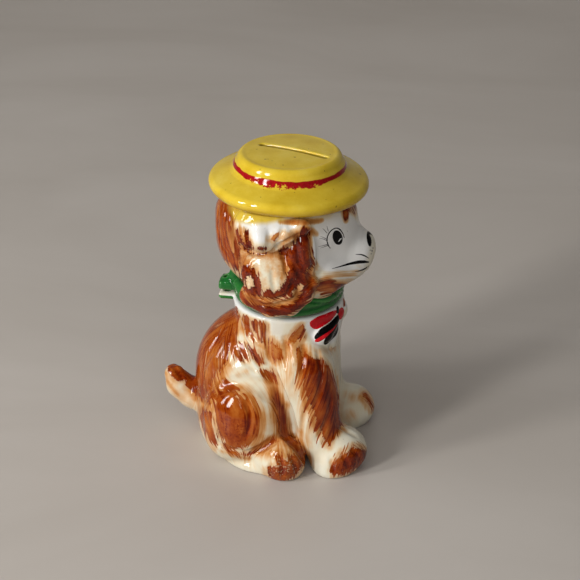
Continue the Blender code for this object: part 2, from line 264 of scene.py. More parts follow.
def combed(arrows):
    """Coordinates across and along the hair, from arrows (u, v, du, dv) that give its lie."""
    s = 2.0
    gu, gv = np.meshgrid(np.arange(U0, 400.1, s), np.arange(V0, 492.1, s))
    dx, dy, w = np.zeros(gu.shape), np.zeros(gu.shape), np.zeros(gu.shape)
    for u, v, a, b in arrows:
        n = math.hypot(a, b)
        k = 1.0 / ((gu - u) ** 2 + (gv - v) ** 2 + 30.0) ** 1.6
        dx += k * a / n
        dy += k * b / n
        w += k
    n = np.hypot(dx, dy) + 1e-9
    dx, dy = dx / n, dy / n

    def lower(f, h):
        return (f[1:, 1:] + f[1:, :-1] + f[:-1, 1:] + f[:-1, :-1]) / 4 if h is None else (f[1:, 1:] - f[1:, :-1] + f[:-1, 1:] - f[:-1, :-1]) / 2 / s if h == 0 else (f[1:, 1:] - f[:-1, 1:] + f[1:, :-1] - f[:-1, :-1]) / 2 / s

    def spread(gx, gy):
        """The transpose of the two slopes."""
        out = np.zeros(gu.shape)
        out[1:, 1:] += gx + gy
        out[1:, :-1] += gy - gx
        out[:-1, 1:] += gx - gy
        out[:-1, :-1] -= gx + gy
        return out / 2 / s

    cx, cy = lower(dx, None), lower(dy, None)
    n = np.hypot(cx, cy) + 1e-9
    cx, cy = cx / n, cy / n

    def solve(flat_x, flat_y, slack):
        """The field that is level along (flat_x, flat_y) and rises by about 1 across it."""
        ux, uy = -flat_y, flat_x

        def apply(f):
            fx, fy = lower(f, 0), lower(f, 1)
            a = fx * flat_x + fy * flat_y
            b = (fx * ux + fy * uy) * slack
            out = spread(a * flat_x + b * ux, a * flat_y + b * uy)
            t = (f[1:, 1:] - f[1:, :-1] - f[:-1, 1:] + f[:-1, :-1]) * 0.02
            out[1:, 1:] += t
            out[1:, :-1] -= t
            out[:-1, 1:] -= t
            out[:-1, :-1] += t
            return out

        rhs = spread(slack * ux, slack * uy)
        f = gu * np.mean(ux) + gv * np.mean(uy)
        r = rhs - apply(f)
        p = r.copy()
        rr = (r * r).sum()
        for _ in range(1600):
            q = apply(p)
            al = rr / ((p * q).sum() + 1e-30)
            f += al * p
            r -= al * q
            r2 = (r * r).sum()
            p = r + (r2 / rr) * p
            rr = r2
            if rr < 1e-8:
                break
        return f

    across, lie = solve(cx, cy, 0.02), -solve(-cy, cx, 0.2)

    def at(u, v):
        x = np.clip((u - U0) / s, 0, gu.shape[1] - 1.001)
        y = np.clip((v - V0) / s, 0, gu.shape[0] - 1.001)
        ix, iy = x.astype(int), y.astype(int)
        fx, fy = x - ix, y - iy
        res = []
        for f in (across, lie):
            res.append(
                (f[iy, ix] * (1 - fx) + f[iy, ix + 1] * fx) * (1 - fy)
                + (f[iy + 1, ix] * (1 - fx) + f[iy + 1, ix + 1] * fx) * fy
            )
        return res

    return at


# ---- meshes --------------------------------------------------------------------------------
scene_coll = bpy.context.scene.collection


def to_world(p):
    w = np.array(p, float)
    w[:, 0] += NECK_X
    return w * 0.001


def make_mesh(name, p, q, world=True):
    me = bpy.data.meshes.new(name)
    w = to_world(p) if world else np.array(p, float) * 0.001
    me.vertices.add(len(w))
    me.vertices.foreach_set("co", w.astype(F32).ravel())
    k = q.shape[1]
    me.loops.add(len(q) * k)
    me.loops.foreach_set("vertex_index", q.astype(np.int32).ravel())
    me.polygons.add(len(q))
    me.polygons.foreach_set("loop_start", np.arange(0, len(q) * k, k, dtype=np.int32))
    me.update(calc_edges=True)
    me.validate()
    ob = bpy.data.objects.new(name, me)
    scene_coll.objects.link(ob)
    me.shade_smooth()
    return ob


def points_of(ob):
    co = np.zeros(len(ob.data.vertices) * 3, F32)
    ob.data.vertices.foreach_get("co", co)
    return co.reshape(-1, 3).astype(float)


def normals_of(ob):
    no = np.zeros(len(ob.data.vertices) * 3, F32)
    ob.data.vertex_normals.foreach_get("vector", no)
    return no.reshape(-1, 3).astype(float)


def local_mm(ob):
    p = points_of(ob) * 1000.0
    p[:, 0] -= NECK_X
    return p


def set_points(ob, p_mm):
    ob.data.vertices.foreach_set("co", to_world(p_mm).astype(F32).ravel())
    ob.data.update()


def apply_modifiers(ob):
    dg = bpy.context.evaluated_depsgraph_get()
    me = bpy.data.meshes.new_from_object(ob.evaluated_get(dg), depsgraph=dg)
    ob.modifiers.clear()
    old = ob.data
    ob.data = me
    bpy.data.meshes.remove(old)
    me.shade_smooth()
    return ob


def thin_out(ob, triangles):
    n = sum(len(p.vertices) - 2 for p in ob.data.polygons)
    if n > triangles:
        m = ob.modifiers.new("thin", "DECIMATE")
        m.ratio = triangles / n
        apply_modifiers(ob)
    return ob


def attribute(ob, name, values, kind="FLOAT"):
    a = ob.data.attributes.new(name, kind, "POINT")
    key = "value" if kind == "FLOAT" else "vector"
    a.data.foreach_set(key, np.asarray(values, F32).ravel())


def hollows(ob, rounds=3):
    """How far each point lies below its neighbours, smoothed: + in a crease, - on an edge."""
    p, n = points_of(ob) * 1000.0, normals_of(ob)
    e = np.zeros(len(ob.data.edges) * 2, np.int32)
    ob.data.edges.foreach_get("vertices", e)
    a, b = e[::2], e[1::2]
    cnt = np.bincount(a, minlength=len(p)) + np.bincount(b, minlength=len(p))
    cnt = np.maximum(cnt, 1)

    def mean(v):
        s = np.bincount(a, v[b], len(p)) + np.bincount(b, v[a], len(p))
        return s / cnt

    avg = np.stack([mean(p[:, i]) for i in range(3)], 1)
    ln = np.linalg.norm(p[a] - p[b], axis=1)
    size = (np.bincount(a, ln, len(p)) + np.bincount(b, ln, len(p))) / cnt
    c = ((avg - p) * n).sum(1) / (size**2 + 1e-6) * 4.0
    for _ in range(rounds):
        c = 0.4 * c + 0.6 * mean(c)
    return c


def outline_distance(poly):
    """Signed distance on the plan to a closed outline, + inside."""
    best = np.full(UU.shape, 1e9)
    inn = np.zeros(UU.shape, bool)
    n = len(poly)
    for i in range(n):
        (ax, ay), (bx, by) = poly[i], poly[(i + 1) % n]
        dx, dy = bx - ax, by - ay
        t = np.clip(((UU - ax) * dx + (VV - ay) * dy) / (dx * dx + dy * dy + 1e-9), 0, 1)
        best = np.minimum(best, np.hypot(UU - ax - t * dx, VV - ay - t * dy))
        if ay != by:
            inn ^= ((ay > VV) != (by > VV)) & (UU < ax + (VV - ay) * dx / dy)
    return np.where(inn, best, -best)


def patch(layer, poly):
    """Adds a patch of brown to a layer of signed distances."""
    np.maximum(layer, outline_distance(poly), out=layer)


def spare(layer, poly):
    """Leaves a patch of a layer of signed distances unpainted."""
    np.minimum(layer, -outline_distance(poly), out=layer)


def stroke(layer, points):
    np.maximum(layer, -along(points), out=layer)


def spare_line(layer, points):
    np.minimum(layer, along(points), out=layer)


def carve(field, cuts, ridges=()):
    """Grooves and ridges that follow the surface of a field, along lines on the plan: (points, radius, depth, k)."""
    p, q = field.mesh()
    tree = BVHTree.FromPolygons([tuple(v) for v in p], [tuple(int(i) for i in f) for f in q])
    for group, sign in ((cuts, 1), (ridges, -1)):
        for pts, r, depth, k in group:
            line = []
            for (u0, v0), (u1, v1) in zip(pts, pts[1:]):
                m = max(1, int(math.hypot(u1 - u0, v1 - v0) / 3.0))
                line += [(u0 + (u1 - u0) * i / m, v0 + (v1 - v0) * i / m) for i in range(m)]
            line.append(pts[-1])
            at = []
            for i, (u, v) in enumerate(line):
                o, d = plan_ray(u, v)
                hit, nor, _, _ = tree.ray_cast(Vector(o), Vector(d))
                if hit is None:
                    continue
                t = i / max(1, len(line) - 1)
                taper = min(1.0, 4.0 * min(t, 1 - t) + 0.12)
                at.append(np.array(hit) + sign * np.array(nor) * (r - depth * taper))
            for a, b in zip(at, at[1:]):
                if np.linalg.norm(a - b) > 9.0:
                    continue
                for m in (1, -1):
                    c = cap(a * (1, m, 1), b * (1, m, 1), r, r)
                    if sign > 0:
                        field.cut(c, k)
                    else:
                        field.add(c, k)


# ---- the body casting ----------------------------------------------------------------------
def both(make):
    return [make(-1), make(1)]


body_core = [
    (ell((-11.5, 0, 39), (37.4, 32.4, 36.4)), 1),
    (ell((-14, 0, 13), (34.8, 31.8, 36.4)), 10),
    (ell((2.6, 0, 58), (20.8, 25.0, 29)), 12),
    (ell((8, 0, 24), (17.0, 22.0, 29)), 8),
]
for s in (-1, 1):
    body_core += [(ell((9.5, s * 18, 51), (14.2, 14.4, 18.5)), 8)]
haunches, legs, feet = [], [], []
for s in (-1, 1):
    dx, dy = (0.0, 0.0) if s < 0 else (-5.0, -2.0)
    haunches += [
        (ell((-17.6, s * 25.6, 24.0), (22.4, 17.0, 25.0), (0, -8, 0)), 1),
        (ell((-24, s * 22.0, 14), (17.0, 17.0, 16.0)), 6),
    ]
    legs += [
        (ell((11.5 + dx, s * 22.6 + dy, 51), (15.0, 13.0, 19.0), (0, 8, 0)), 1),
        (ell((16.5 + dx, s * 23.8 + dy, 34), (13.0, 12.2, 18.5), (0, 6, 0)), 6),
        (ell((19.6 + dx, s * 23.4 + dy, 17), (12.2, 11.8, 14.5)), 6),
        (ell((30.6 + 0.14 * dx, s * 24.0 + 2.3 * dy, 9.4 + 0.3 * dy), (13.6, 14.2 + 0.4 * dy, 11.6 + 0.2 * dy), (0, 8, 0)), 4),
        (ell((27.0 + 0.14 * dx, s * 25.0 + 2.3 * dy, 3.0), (12.0, 14.8 + 0.4 * dy, 9.0)), 4),
    ]
    feet += [
        (ell((-0.4, s * 35.0, 7.6), (14.6, 10.3, 11.6), (0, 0, s * 20)), 1),
        (ell((3.2, s * 37.0, 8.4), (10.2, 10.2, 12.4), (0, 0, s * 20)), 3),
        (ell((-15.0, s * 29.5, 1.6), (15.5, 9.6, 6.0), (0, 0, s * 26)), 3),
    ]
tail = [
    (ell((-47.0, 0, 20.0), (9.5, 8.4, 9.5)), 1),
    (cap((-52.5, 0, 20.5), (-58.5, 0, 25.0), 8.0, 7.0), 3),
    (cap((-58.5, 0, 25.5), (-61.3, 0, 31.3), 6.6, 5.3), 3),
]
base_edge = [(ell((-11.5, 0, 0.5), (30.0, 32.0, 5.0)), 1)]


def collar_shape():
    def f(x, y, z):
        r = np.sqrt(x * x + y * y)
        R = 28.1 - 1.3 * np.exp(-(((z - 73.5) / 5.0) ** 2))
        t = np.clip((71.0 - z) / 9.0, 0, 1)
        R = R - 3.7 * t * t * (3 - 2 * t) * np.clip(1.5 * x / np.maximum(r, 1.0), 0, 1)
        return smax(r - R, np.abs(z - (RIM_Z + 52.0) / 2) - (RIM_Z - 52.0) / 2, 1.6)

    return f, (np.array([-28.5, -28.5, 52.0]), np.array([28.5, 28.5, RIM_Z]))


collar = [(collar_shape(), 1)]
bow = []
for s in (-1, 1):
    bow += [
        (cap((25.6, s * 4.5, 77.5), (19.4, s * 17.5, 73.2), 3.0, 5.8), 2.0),
        (cap((25.3, s * 5.0, 74.5), (18.9, s * 16.0, 66.8), 2.6, 4.6), 1.6),
        (cap((25.6, s * 3.5, 73.0), (22.2, s * 11.5, 64.6), 2.4, 4.0), 1.4),
    ]
bow += [(ell((26.6, 0, 77.2), (3.4, 4.6, 5.0)), 1.0)]
body_lug = [(slab((-35.5, -5.4, RIM_Z - 2.7), (-24.0, 5.4, RIM_Z + 0.5), 1.3), 1)]

H = 0.62
body = Field((-69, -50, -1.5), (48, 50, RIM_Z + 3), H)
for sh, k in body_core:
    body.add(sh, k)
body.keep(lambda x, y, z: (z - F32(RIM_Z - 9.0)) + 0 * x + 0 * y, 2.0)
for sh, k in haunches[:2]:
    body.add(sh, 3.0)
for sh, k in haunches[2:]:
    body.add(sh, 3.0)


def add_group(field, group, k):
    """Adds a group of forms as one form, with its own soft joins, and joins it to the field by k."""
    lo = np.min([b[0] for (_, b), _ in group], 0)
    hi = np.max([b[1] for (_, b), _ in group], 0)

    def f(x, y, z):
        return union(group, x, y, z)

    field.add((f, (lo - 2, hi + 2)), k)


for i in range(0, len(legs), 5):
    add_group(body, legs[i : i + 5], 2.6)
add_group(body, base_edge, 2.0)
for i in range(0, len(feet), 3):
    add_group(body, feet[i : i + 3], 2.2)
add_group(body, tail, 3.0)
add_group(body, collar, 3.5)
add_group(body, bow, 1.4)
add_group(body, body_lug, 1.2)

# creases between the limbs, the toes, and locks of coat
carve(
    body,
    [
        ([(266, 366), (272, 380), (279, 395), (284, 412), (286, 428), (284, 436)], 3.2, 2.2, 2.6),
        ([(286, 436), (297, 446), (304, 456), (308, 465)], 2.4, 2.0, 2.0),
        ([(215, 441), (228, 450), (246, 454), (262, 448), (275, 439)], 1.6, 1.0, 1.8),
        ([(213, 402), (213, 416), (217, 432), (223, 444)], 1.3, 0.55, 1.6),
        ([(218, 392), (230, 385), (246, 382), (262, 387), (272, 396)], 2.6, 0.4, 3.0),
        ([(246, 402), (250, 413), (250, 426), (245, 437)], 1.2, 0.2, 1.6),
        ([(239, 316), (242, 330), (250, 346), (258, 362), (268, 374)], 1.5, 0.6, 1.8),
        ([(267, 322), (267, 338), (268, 352), (272, 366)], 1.2, 0.5, 1.5),
        ([(284, 338), (288, 352), (287, 368)], 1.2, 0.22, 1.5),
        ([(304, 344), (303, 356), (300, 374), (294, 388)], 1.3, 0.25, 1.6),
        ([(318, 352), (322, 372), (320, 392), (314, 408)], 1.2, 0.35, 1.5),
        ([(334, 366), (338, 386), (339, 404)], 1.2, 0.4, 1.5),
        ([(330, 396), (330, 412), (324, 428), (316, 440)], 1.1, 0.3, 1.4),
        ([(306, 410), (302, 424), (300, 440)], 1.2, 0.35, 1.4),
        ([(226, 326), (212, 346), (203, 366), (202, 384)], 1.1, 0.35, 1.3),
        ([(232, 330), (222, 348), (213, 366), (210, 384), (214, 396)], 1.1, 0.35, 1.3),
        ([(230, 346), (226, 360), (218, 374)], 1.1, 0.4, 1.3),
        ([(198, 392), (203, 404), (206, 420), (212, 434)], 1.1, 0.35, 1.3),
        ([(238, 350), (246, 362), (256, 372)], 1.2, 0.4, 1.5),
        # toes
        ([(341, 454), (346, 461), (349, 470)], 1.0, 0.3, 1.2),
        ([(351, 449), (357, 455), (361, 463)], 1.0, 0.3, 1.2),
        ([(330, 458), (332, 466), (334, 474)], 0.9, 0.35, 1.2),
        ([(280, 456), (282, 466), (282, 478)], 1.1, 0.6, 1.2),
        ([(290, 455), (295, 464), (297, 474)], 1.0, 0.5, 1.2),
        ([(270, 462), (270, 471), (271, 480)], 0.9, 0.35, 1.2),
        ([(338, 426), (346, 430), (356, 436)], 1.4, 0.35, 1.6),
        ([(172, 364), (178, 372), (184, 380)], 1.2, 0.35, 1.4),
    ],
    [
        ([(246, 332), (254, 346), (262, 360)], 2.0, 0.4, 1.8),
        ([(293, 346), (294, 356), (293, 370)], 2.2, 0.15, 2.2),
        ([(218, 352), (208, 372), (206, 388)], 1.8, 0.35, 1.6),
        ([(226, 338), (216, 360), (212, 376)], 1.8, 0.3, 1.6),
    ],
)

body_hollow = [
    (ell((-12.5, 0, 37), (32.5, 27.5, 31)), 1),
    (ell((-14, 0, 24.5), (29, 26.5, 19)), 5),
    (ell((2, 0, 56), (19, 20.5, 24)), 5),
]
for s in (-1, 1):
    body_hollow += [(ell((-17.5, s * 20, 25.5), (17.5, 15.5, 19.5)), 5)]
add_cut = lambda field, group, k: field.cut(
    (
        lambda x, y, z: union(group, x, y, z),
        (np.min([b[0] for (_, b), _ in group], 0) - 2, np.max([b[1] for (_, b), _ in group], 0) + 2),
    ),
    k,
)
body_bore = [(drum(24.4, 67.5, RIM_Z + 8, 2.0), 1)]
add_cut(body, body_hollow, 2.0)
add_cut(body, body_bore, 0.9)
body.cut(cap((-31.5, 0, RIM_Z - 8), (-31.5, 0, RIM_Z + 6), 1.9, 1.9), 0.7)
body.keep(lambda x, y, z: (F32(0.0) - z) + 0 * x + 0 * y, 1.2)
body.cut(
    (
        lambda x, y, z: smax(np.sqrt((x + 15) ** 2 + y * y) - 26.0, z - 1.5, 0.6),
        (np.array([-43, -28, -3]), np.array([13, 28, 1.6])),
    ),
    0.6,
)

# the lie of the coat on the body, and the plan of its brown
body_lie = combed(
    [
        (236, 314, -0.35, 1), (224, 330, -0.4, 1), (212, 345, -0.35, 1), (201, 362, -0.15, 1), (197, 380, 0.1, 1),
        (230, 345, -0.15, 1), (218, 362, 0.0, 1), (208, 382, 0.15, 1), (236, 356, 0.3, 1), (226, 372, 0.3, 1),
        (205, 398, 0.3, 1), (206, 418, 0.25, 1), (208, 436, 0.35, 1), (216, 448, 0.8, 0.8), (214, 394, 0.4, 1),
        (224, 396, 0.6, 0.8), (236, 392, 0.8, 0.6), (244, 402, 0.6, 0.9), (250, 416, 0.15, 1), (247, 434, -0.25, 1),
        (234, 430, -0.05, 1), (226, 416, 0.1, 1), (222, 440, 0.3, 1), (236, 448, 0.8, 0.5), (256, 404, 0.5, 1),
        (262, 420, 0.05, 1), (258, 438, -0.4, 1), (246, 386, 0.85, 0.6), (262, 392, 0.7, 0.9), (232, 384, 0.9, 0.45),
        (272, 400, 0.35, 1), (276, 420, 0.05, 1), (268, 438, -0.6, 0.8), (256, 450, -0.9, 0.3), (282, 426, 0.15, 1),
        (250, 326, 0.4, 1), (244, 344, 0.5, 1), (252, 350, 0.55, 1), (260, 362, 0.6, 1), (262, 334, 0.15, 1),
        (268, 376, 0.7, 0.7), (276, 345, 0.0, 1), (280, 362, 0.2, 1), (292, 345, 0.05, 1), (298, 334, -0.8, 0.7),
        (292, 340, -0.8, 0.7), (310, 352, -0.05, 1), (325, 352, 0.25, 1), (334, 372, 0.1, 1), (338, 395, 0.05, 1),
        (298, 372, -0.4, 1), (302, 385, -0.6, 1), (312, 378, -0.45, 1), (322, 390, -0.4, 1), (308, 400, -0.75, 1),
        (315, 410, -0.8, 1), (326, 410, -0.45, 1), (320, 428, -0.8, 1), (330, 425, -0.55, 1), (324, 442, -0.7, 1),
        (338, 420, -0.2, 1), (290, 400, -0.1, 1), (298, 425, -0.1, 1), (308, 445, 0.3, 1), (290, 440, 0.8, 0.9),
        (304, 458, 0.3, 1), (334, 460, -0.5, 1), (345, 458, -0.42, 1), (358, 452, -0.4, 1), (352, 466, -0.2, 1),
        (344, 474, -0.1, 1), (278, 462, 0.25, 1), (292, 462, 0.3, 1), (284, 474, 0.1, 1), (262, 468, 0.4, 1),
        (300, 468, -0.1, 1), (178, 366, -0.9, -0.3), (172, 376, -0.8, -0.6), (190, 380, -0.75, -0.65), (186, 396, -0.75, -0.55),
        (355, 400, 0.5, 0.9), (345, 430, 0.7, 0.6),
    ]
)
# soft ochre clouds, patches of sienna with combed edges, and how deep the sienna is
wash = np.full(UU.shape, 0.05)
brown = np.full(UU.shape, -8.0)
deep = np.full(UU.shape, 0.44)
comb = np.full(UU.shape, 0.25)
teeth = np.full(UU.shape, 0.22)
blot = np.full(UU.shape, 0.08)
brush(blot, 0.85, [(274, 474, 8), (286, 468, 11), (298, 464, 8)], 4)
brush(blot, 0.55, [(228, 426, 12), (236, 436, 10)], 5)
brush(blot, 0.50, [(276, 344, 10), (296, 340, 8), (300, 360, 6)], 4)
brush(blot, 0.40, [(338, 468, 7), (352, 460, 8)], 4)
brush(blot, 0.60, [(172, 366, 8), (184, 374, 8)], 4)
# back and rump
patch(brown, [(237, 306), (240, 318), (238, 331), (235, 342), (239, 351), (244, 361), (237, 361), (231, 352), (226, 363), (220, 371), (214, 379), (213, 388), (218, 396), (224, 401), (216, 404), (206, 400), (196, 396), (186, 386), (182, 360), (200, 330), (225, 305)])
brush(comb, 0.82, [(208, 372, 14), (204, 390, 12), (216, 352, 10), (236, 326, 4)], 5)
brush(comb, 0.58, [(222, 335, 10), (208, 350, 10)], 4)
brush(wash, 0.55, [(204, 388, 12), (208, 402, 8), (228, 366, 4)], 5)
brush(wash, 0.45, [(196, 400, 4), (202, 414, 4)], 4)
patch(brown, [(203, 410), (208, 412), (213, 413), (215, 421), (216, 432), (220, 441), (216, 447), (207, 439), (202, 428), (199, 417)])
brush(comb, 0.6, [(208, 414, 5), (210, 434, 6)], 3)
brush(deep, 0.62, [(192, 372, 5), (196, 388, 6)], 4)
brush(deep, 0.50, [(222, 330, 10), (206, 356, 10)], 6)
brush(deep, 0.34, [(214, 352, 6), (206, 376, 6)], 5)
# shoulder
patch(brown, [(243, 314), (252, 320), (263, 321), (267, 325), (266, 336), (264, 346), (260, 343), (256, 346), (250, 339), (246, 328)])
patch(brown, [(247, 345), (254, 347), (260, 354), (264, 363), (258, 364), (252, 357), (247, 351)])
patch(brown, [(239, 343), (243, 344), (247, 352), (249, 360), (244, 359), (240, 351)])
patch(brown, [(270, 339), (277, 344), (282, 350), (284, 358), (276, 362), (270, 357)])
patch(brown, [(285, 345), (288, 337), (295, 331), (302, 325), (305, 329), (302, 337), (296, 342), (290, 345)])
patch(brown, [(296, 346), (300, 348), (303, 357), (305, 370), (300, 372), (297, 364), (295, 355)])
patch(brown, [(259, 371), (265, 371), (271, 370), (277, 376), (276, 383), (268, 380), (262, 376)])
spare_line(brown, [(249, 320, 0.4), (253, 332, 0.7), (258, 342, 0.3)])
spare_line(brown, [(256, 322, 0.3), (259, 332, 0.6), (261, 340, 0.3)])
brush(deep, 0.68, [(250, 348, 3), (258, 358, 4)], 2)
brush(deep, 0.62, [(242, 346, 2), (246, 356, 2)], 2)
brush(deep, 0.22, [(292, 338, 8), (302, 328, 4), (276, 350, 6)], 3)
brush(deep, 0.36, [(300, 360, 5)], 3)
brush(comb, 0.6, [(252, 328, 6), (262, 334, 6), (298, 358, 5)], 3)
brush(wash, 0.38, [(270, 352, 8), (282, 364, 6)], 6)
brush(wash, 0.34, [(292, 372, 6), (284, 384, 5)], 6)
brush(wash, 0.28, [(298, 400, 5), (304, 420, 5)], 6)
brush(wash, 0.40, [(240, 330, 4), (244, 320, 3)], 4)
brush(wash, 0.42, [(290, 347, 4), (292, 366, 4), (306, 352, 5)], 5)
brush(wash, 0.34, [(252, 366, 5), (262, 374, 4)], 4)
brush(wash, 0.28, [(312, 350, 5), (328, 352, 4)], 4)
# haunch
patch(brown, [(219, 399), (226, 396), (234, 396), (241, 401), (246, 410), (249, 422), (247, 434), (243, 443), (236, 449), (227, 450), (219, 442), (215, 430), (213, 416), (214, 404)])
patch(brown, [(240, 397), (247, 397), (253, 400), (257, 408), (260, 420), (259, 434), (254, 443), (246, 448), (236, 449), (235, 430), (238, 418), (236, 404)])
patch(brown, [(219, 385), (224, 381), (232, 384), (239, 388), (233, 391), (225, 392)])
patch(brown, [(222, 447), (232, 451), (246, 453), (258, 449), (268, 443), (275, 437), (277, 441), (266, 449), (256, 454), (246, 457), (232, 454)])
patch(brown, [(215, 394), (222, 390), (230, 390), (236, 394), (234, 399), (228, 401), (217, 402)])
spare_line(brown, [(213.5, 402, 0.8), (214, 416, 1.0), (218, 434, 1.2), (223, 444, 0.6)])
spare(brown, [(217, 437), (221, 437), (224, 442), (223, 447), (217, 444)])
brush(wash, 0.60, [(244, 392, 5), (254, 400, 5), (259, 418, 5), (256, 438, 5)], 6)
brush(wash, 0.16, [(258, 388, 4), (268, 398, 5), (273, 414, 5), (270, 430, 5)], 4)
brush(wash, 0.30, [(262, 410, 3), (264, 428, 3)], 4)
brush(wash, 0.05, [(250, 366, 9), (260, 380, 8)], 4)
brush(wash, 0.30, [(238, 374, 2.5), (248, 371, 2.5)], 3)
brush(comb, 0.62, [(250, 398, 3), (257, 410, 3), (258, 436, 3), (242, 448, 2)], 4)
brush(comb, 0.80, [(243, 397, 4), (250, 400, 4), (256, 406, 3), (258, 418, 2)], 3)
brush(comb, 0.06, [(230, 412, 9), (234, 430, 9)], 4)
brush(deep, 0.54, [(246, 406, 3), (251, 420, 4), (247, 436, 4)], 3)
brush(deep, 0.53, [(228, 426, 8), (236, 436, 6)], 5)
brush(deep, 0.42, [(226, 408, 7)], 4)
brush(teeth, 0.5, [(246, 396, 5), (258, 404, 4), (262, 418, 4)], 3)
brush(deep, 0.68, [(246, 452, 3), (258, 449, 3)], 2)
# the crease between haunch and foreleg, brown and darkest down its bottom: partly the coat's paint, partly painted
# shade in the crease
patch(brown, [(274, 388), (279, 397), (284, 409), (287, 423), (289, 434), (299, 443), (306, 455), (310, 467), (303, 467), (299, 455), (288, 442), (281, 436), (279, 425), (277, 411), (273, 399)])
brush(deep, 0.48, [(277, 394, 2), (282, 412, 3), (285, 430, 3), (300, 450, 3), (306, 462, 3)], 2)
brush(deep, 0.66, [(281, 404, 1.6), (285, 422, 1.8)], 2)
brush(wash, 0.70, [(270, 382, 4), (277, 400, 5), (281, 420, 6), (282, 436, 6), (296, 446, 5), (303, 460, 5)], 5)
brush(wash, 0.50, [(284, 404, 2), (288, 405, 2)], 3)
brush(wash, 0.55, [(268, 440, 4), (256, 448, 4)], 3)
# foreleg
patch(brown, [(305, 353), (314, 358), (324, 361), (332, 373), (338, 388), (341, 407), (343, 424), (337, 434), (330, 447), (323, 441), (317, 427), (312, 414), (305, 400), (300, 385), (301, 368)])
brush(wash, 0.45, [(300, 372, 5), (302, 392, 5), (308, 410, 5), (314, 428, 5)], 6)
brush(wash, 0.34, [(296, 382, 4), (292, 396, 3)], 4)
brush(wash, 0.34, [(302, 432, 5), (308, 442, 5)], 4)
brush(wash, 0.36, [(334, 432, 3), (345, 430, 3)], 3)
brush(wash, 0.10, [(340, 345, 3), (344, 370, 3)], 3)
brush(deep, 0.72, [(314, 366, 6), (324, 390, 8), (333, 412, 7), (336, 426, 4)], 5)
brush(deep, 0.50, [(306, 362, 4), (304, 376, 5), (312, 400, 4), (322, 426, 4)], 4)
brush(deep, 0.86, [(310, 362, 2.5)], 2)
brush(comb, 0.62, [(304, 372, 4), (310, 396, 5), (318, 422, 5), (326, 438, 5)], 4)
brush(comb, 0.16, [(325, 385, 8), (334, 410, 6)], 5)
brush(teeth, 1.0, [(298, 368, 7), (304, 392, 9), (312, 412, 9), (320, 440, 9)], 4)
patch(brown, [(334.0, 333), (335.4, 334), (335.4, 345), (334.0, 347)])
# paws
patch(brown, [(331, 464), (336, 458), (343, 452), (351, 446), (357, 446), (362, 449), (369, 452), (369, 461), (361, 467), (350, 473), (340, 477), (332, 476), (329, 470)])
brush(deep, 0.74, [(336, 470, 5), (350, 462, 7), (364, 456, 5)], 3)
brush(comb, 0.42, [(336, 462, 4), (350, 452, 4)], 3)
brush(teeth, 0.8, [(332, 460, 3), (344, 450, 5), (358, 444, 5)], 3)
patch(brown, [(268, 476), (267, 468), (274, 466), (279, 461), (276, 456), (281, 454), (287, 460), (290, 454), (298, 455), (303, 462), (301, 470), (295, 477), (286, 481), (276, 483)])
brush(deep, 0.66, [(272, 474, 6), (296, 466, 6)], 4)
brush(comb, 0.85, [(276, 470, 8), (292, 466, 8)], 4)
brush(teeth, 0.35, [(276, 458, 5), (292, 456, 5)], 3)
brush(wash, 0.60, [(262, 453, 4), (270, 454, 5), (282, 450, 5)], 6)
brush(wash, 0.30, [(284, 452, 4)], 3)
# tail
patch(brown, [(165, 364), (172, 358), (182, 364), (194, 366), (196, 376), (192, 388), (185, 381), (178, 381), (171, 376), (167, 371)])
patch(brown, [(189, 370), (196, 384), (199, 397), (193, 393), (188, 383)])
brush(deep, 0.58, [(172, 366, 6), (184, 374, 7)], 3)
brush(teeth, 0.6, [(214, 372, 10), (210, 394, 10)], 4)
brush(teeth, 0.55, [(238, 352, 7), (262, 350, 7)], 4)
brush(comb, 0.12, [(172, 366, 8), (184, 374, 8)], 3)
brush(wash, 0.22, [(165, 378, 4), (176, 392, 5), (190, 404, 5)], 4)
brush(wash, 0.5, [(164, 370, 1.2), (168, 383, 1.2), (178, 395, 1.2)], 1.6)
# the foot's edge, with a light wash along it as painted shade, and the collar
brush(wash, 0.13, [(212, 450, 4), (232, 460, 5), (250, 468, 6)], 2)
brush(wash, 0.5, [(222, 451, 1.0), (238, 457, 1.0), (250, 459, 1.0)], 2)
brush(wash, 0.02, [(246, 306, 6), (262, 312, 6), (290, 314, 6), (320, 312, 7), (340, 300, 8)], 2)
patch(brown, [(342.6, 296), (345, 295), (345.6, 306), (343, 308)])
bodywhite = np.zeros(UU.shape)
brush(bodywhite, 1.0, [(232, 299, 5), (246, 308, 5), (262, 314, 5.5), (290, 316, 6), (318, 313, 8), (340, 301, 10)], 1.5)
brush(bodywhite, 1.0, [(314, 326, 8), (320, 336, 9), (330, 338, 6), (336, 322, 6)], 1.5)
brush(bodywhite, 0.35, [(276, 324, 8), (277, 334, 6)], 2.5)
spare(brown, [(306, 316), (346, 308), (346, 350), (325, 349), (309, 342)])
brush(wash, 0.02, [(312, 330, 7), (318, 340, 8), (328, 343, 5)], 1.5)
np.maximum(brown, outline_distance([(342.6, 296), (345, 295), (345.6, 306), (343, 308)]), out=brown)
# the far forepaw as it is from the front
far_brown = np.full(UU.shape, -8.0)
patch(far_brown, [(361, 391), (366, 392), (371, 399), (374, 407), (372, 412), (369, 404), (365, 398), (361, 395)])
far_wash = np.full(UU.shape, 0.04)
brush(far_wash, 0.26, [(347, 394, 3), (353, 397, 4), (366, 396, 3)], 4)
brush(far_wash, 0.34, [(350, 418, 5)], 6)
fur = np.full(UU.shape, 1.0)
brush(fur, 0.0, [(232, 299, 6), (246, 308, 6), (262, 313, 6), (290, 315, 6), (318, 313, 8), (340, 301, 10)], 3)
brush(fur, 0.0, [(314, 326, 9), (322, 336, 9), (334, 330, 8)], 2)


def side_weight(n):
    """1 where the casting faces the front or the back, 0 on its sides."""
    side = np.abs(n[:, 1])
    return np.clip((0.62 - side) / 0.35, 0, 1) * np.clip((np.abs(n[:, 0]) - 0.35) / 0.3, 0, 1)


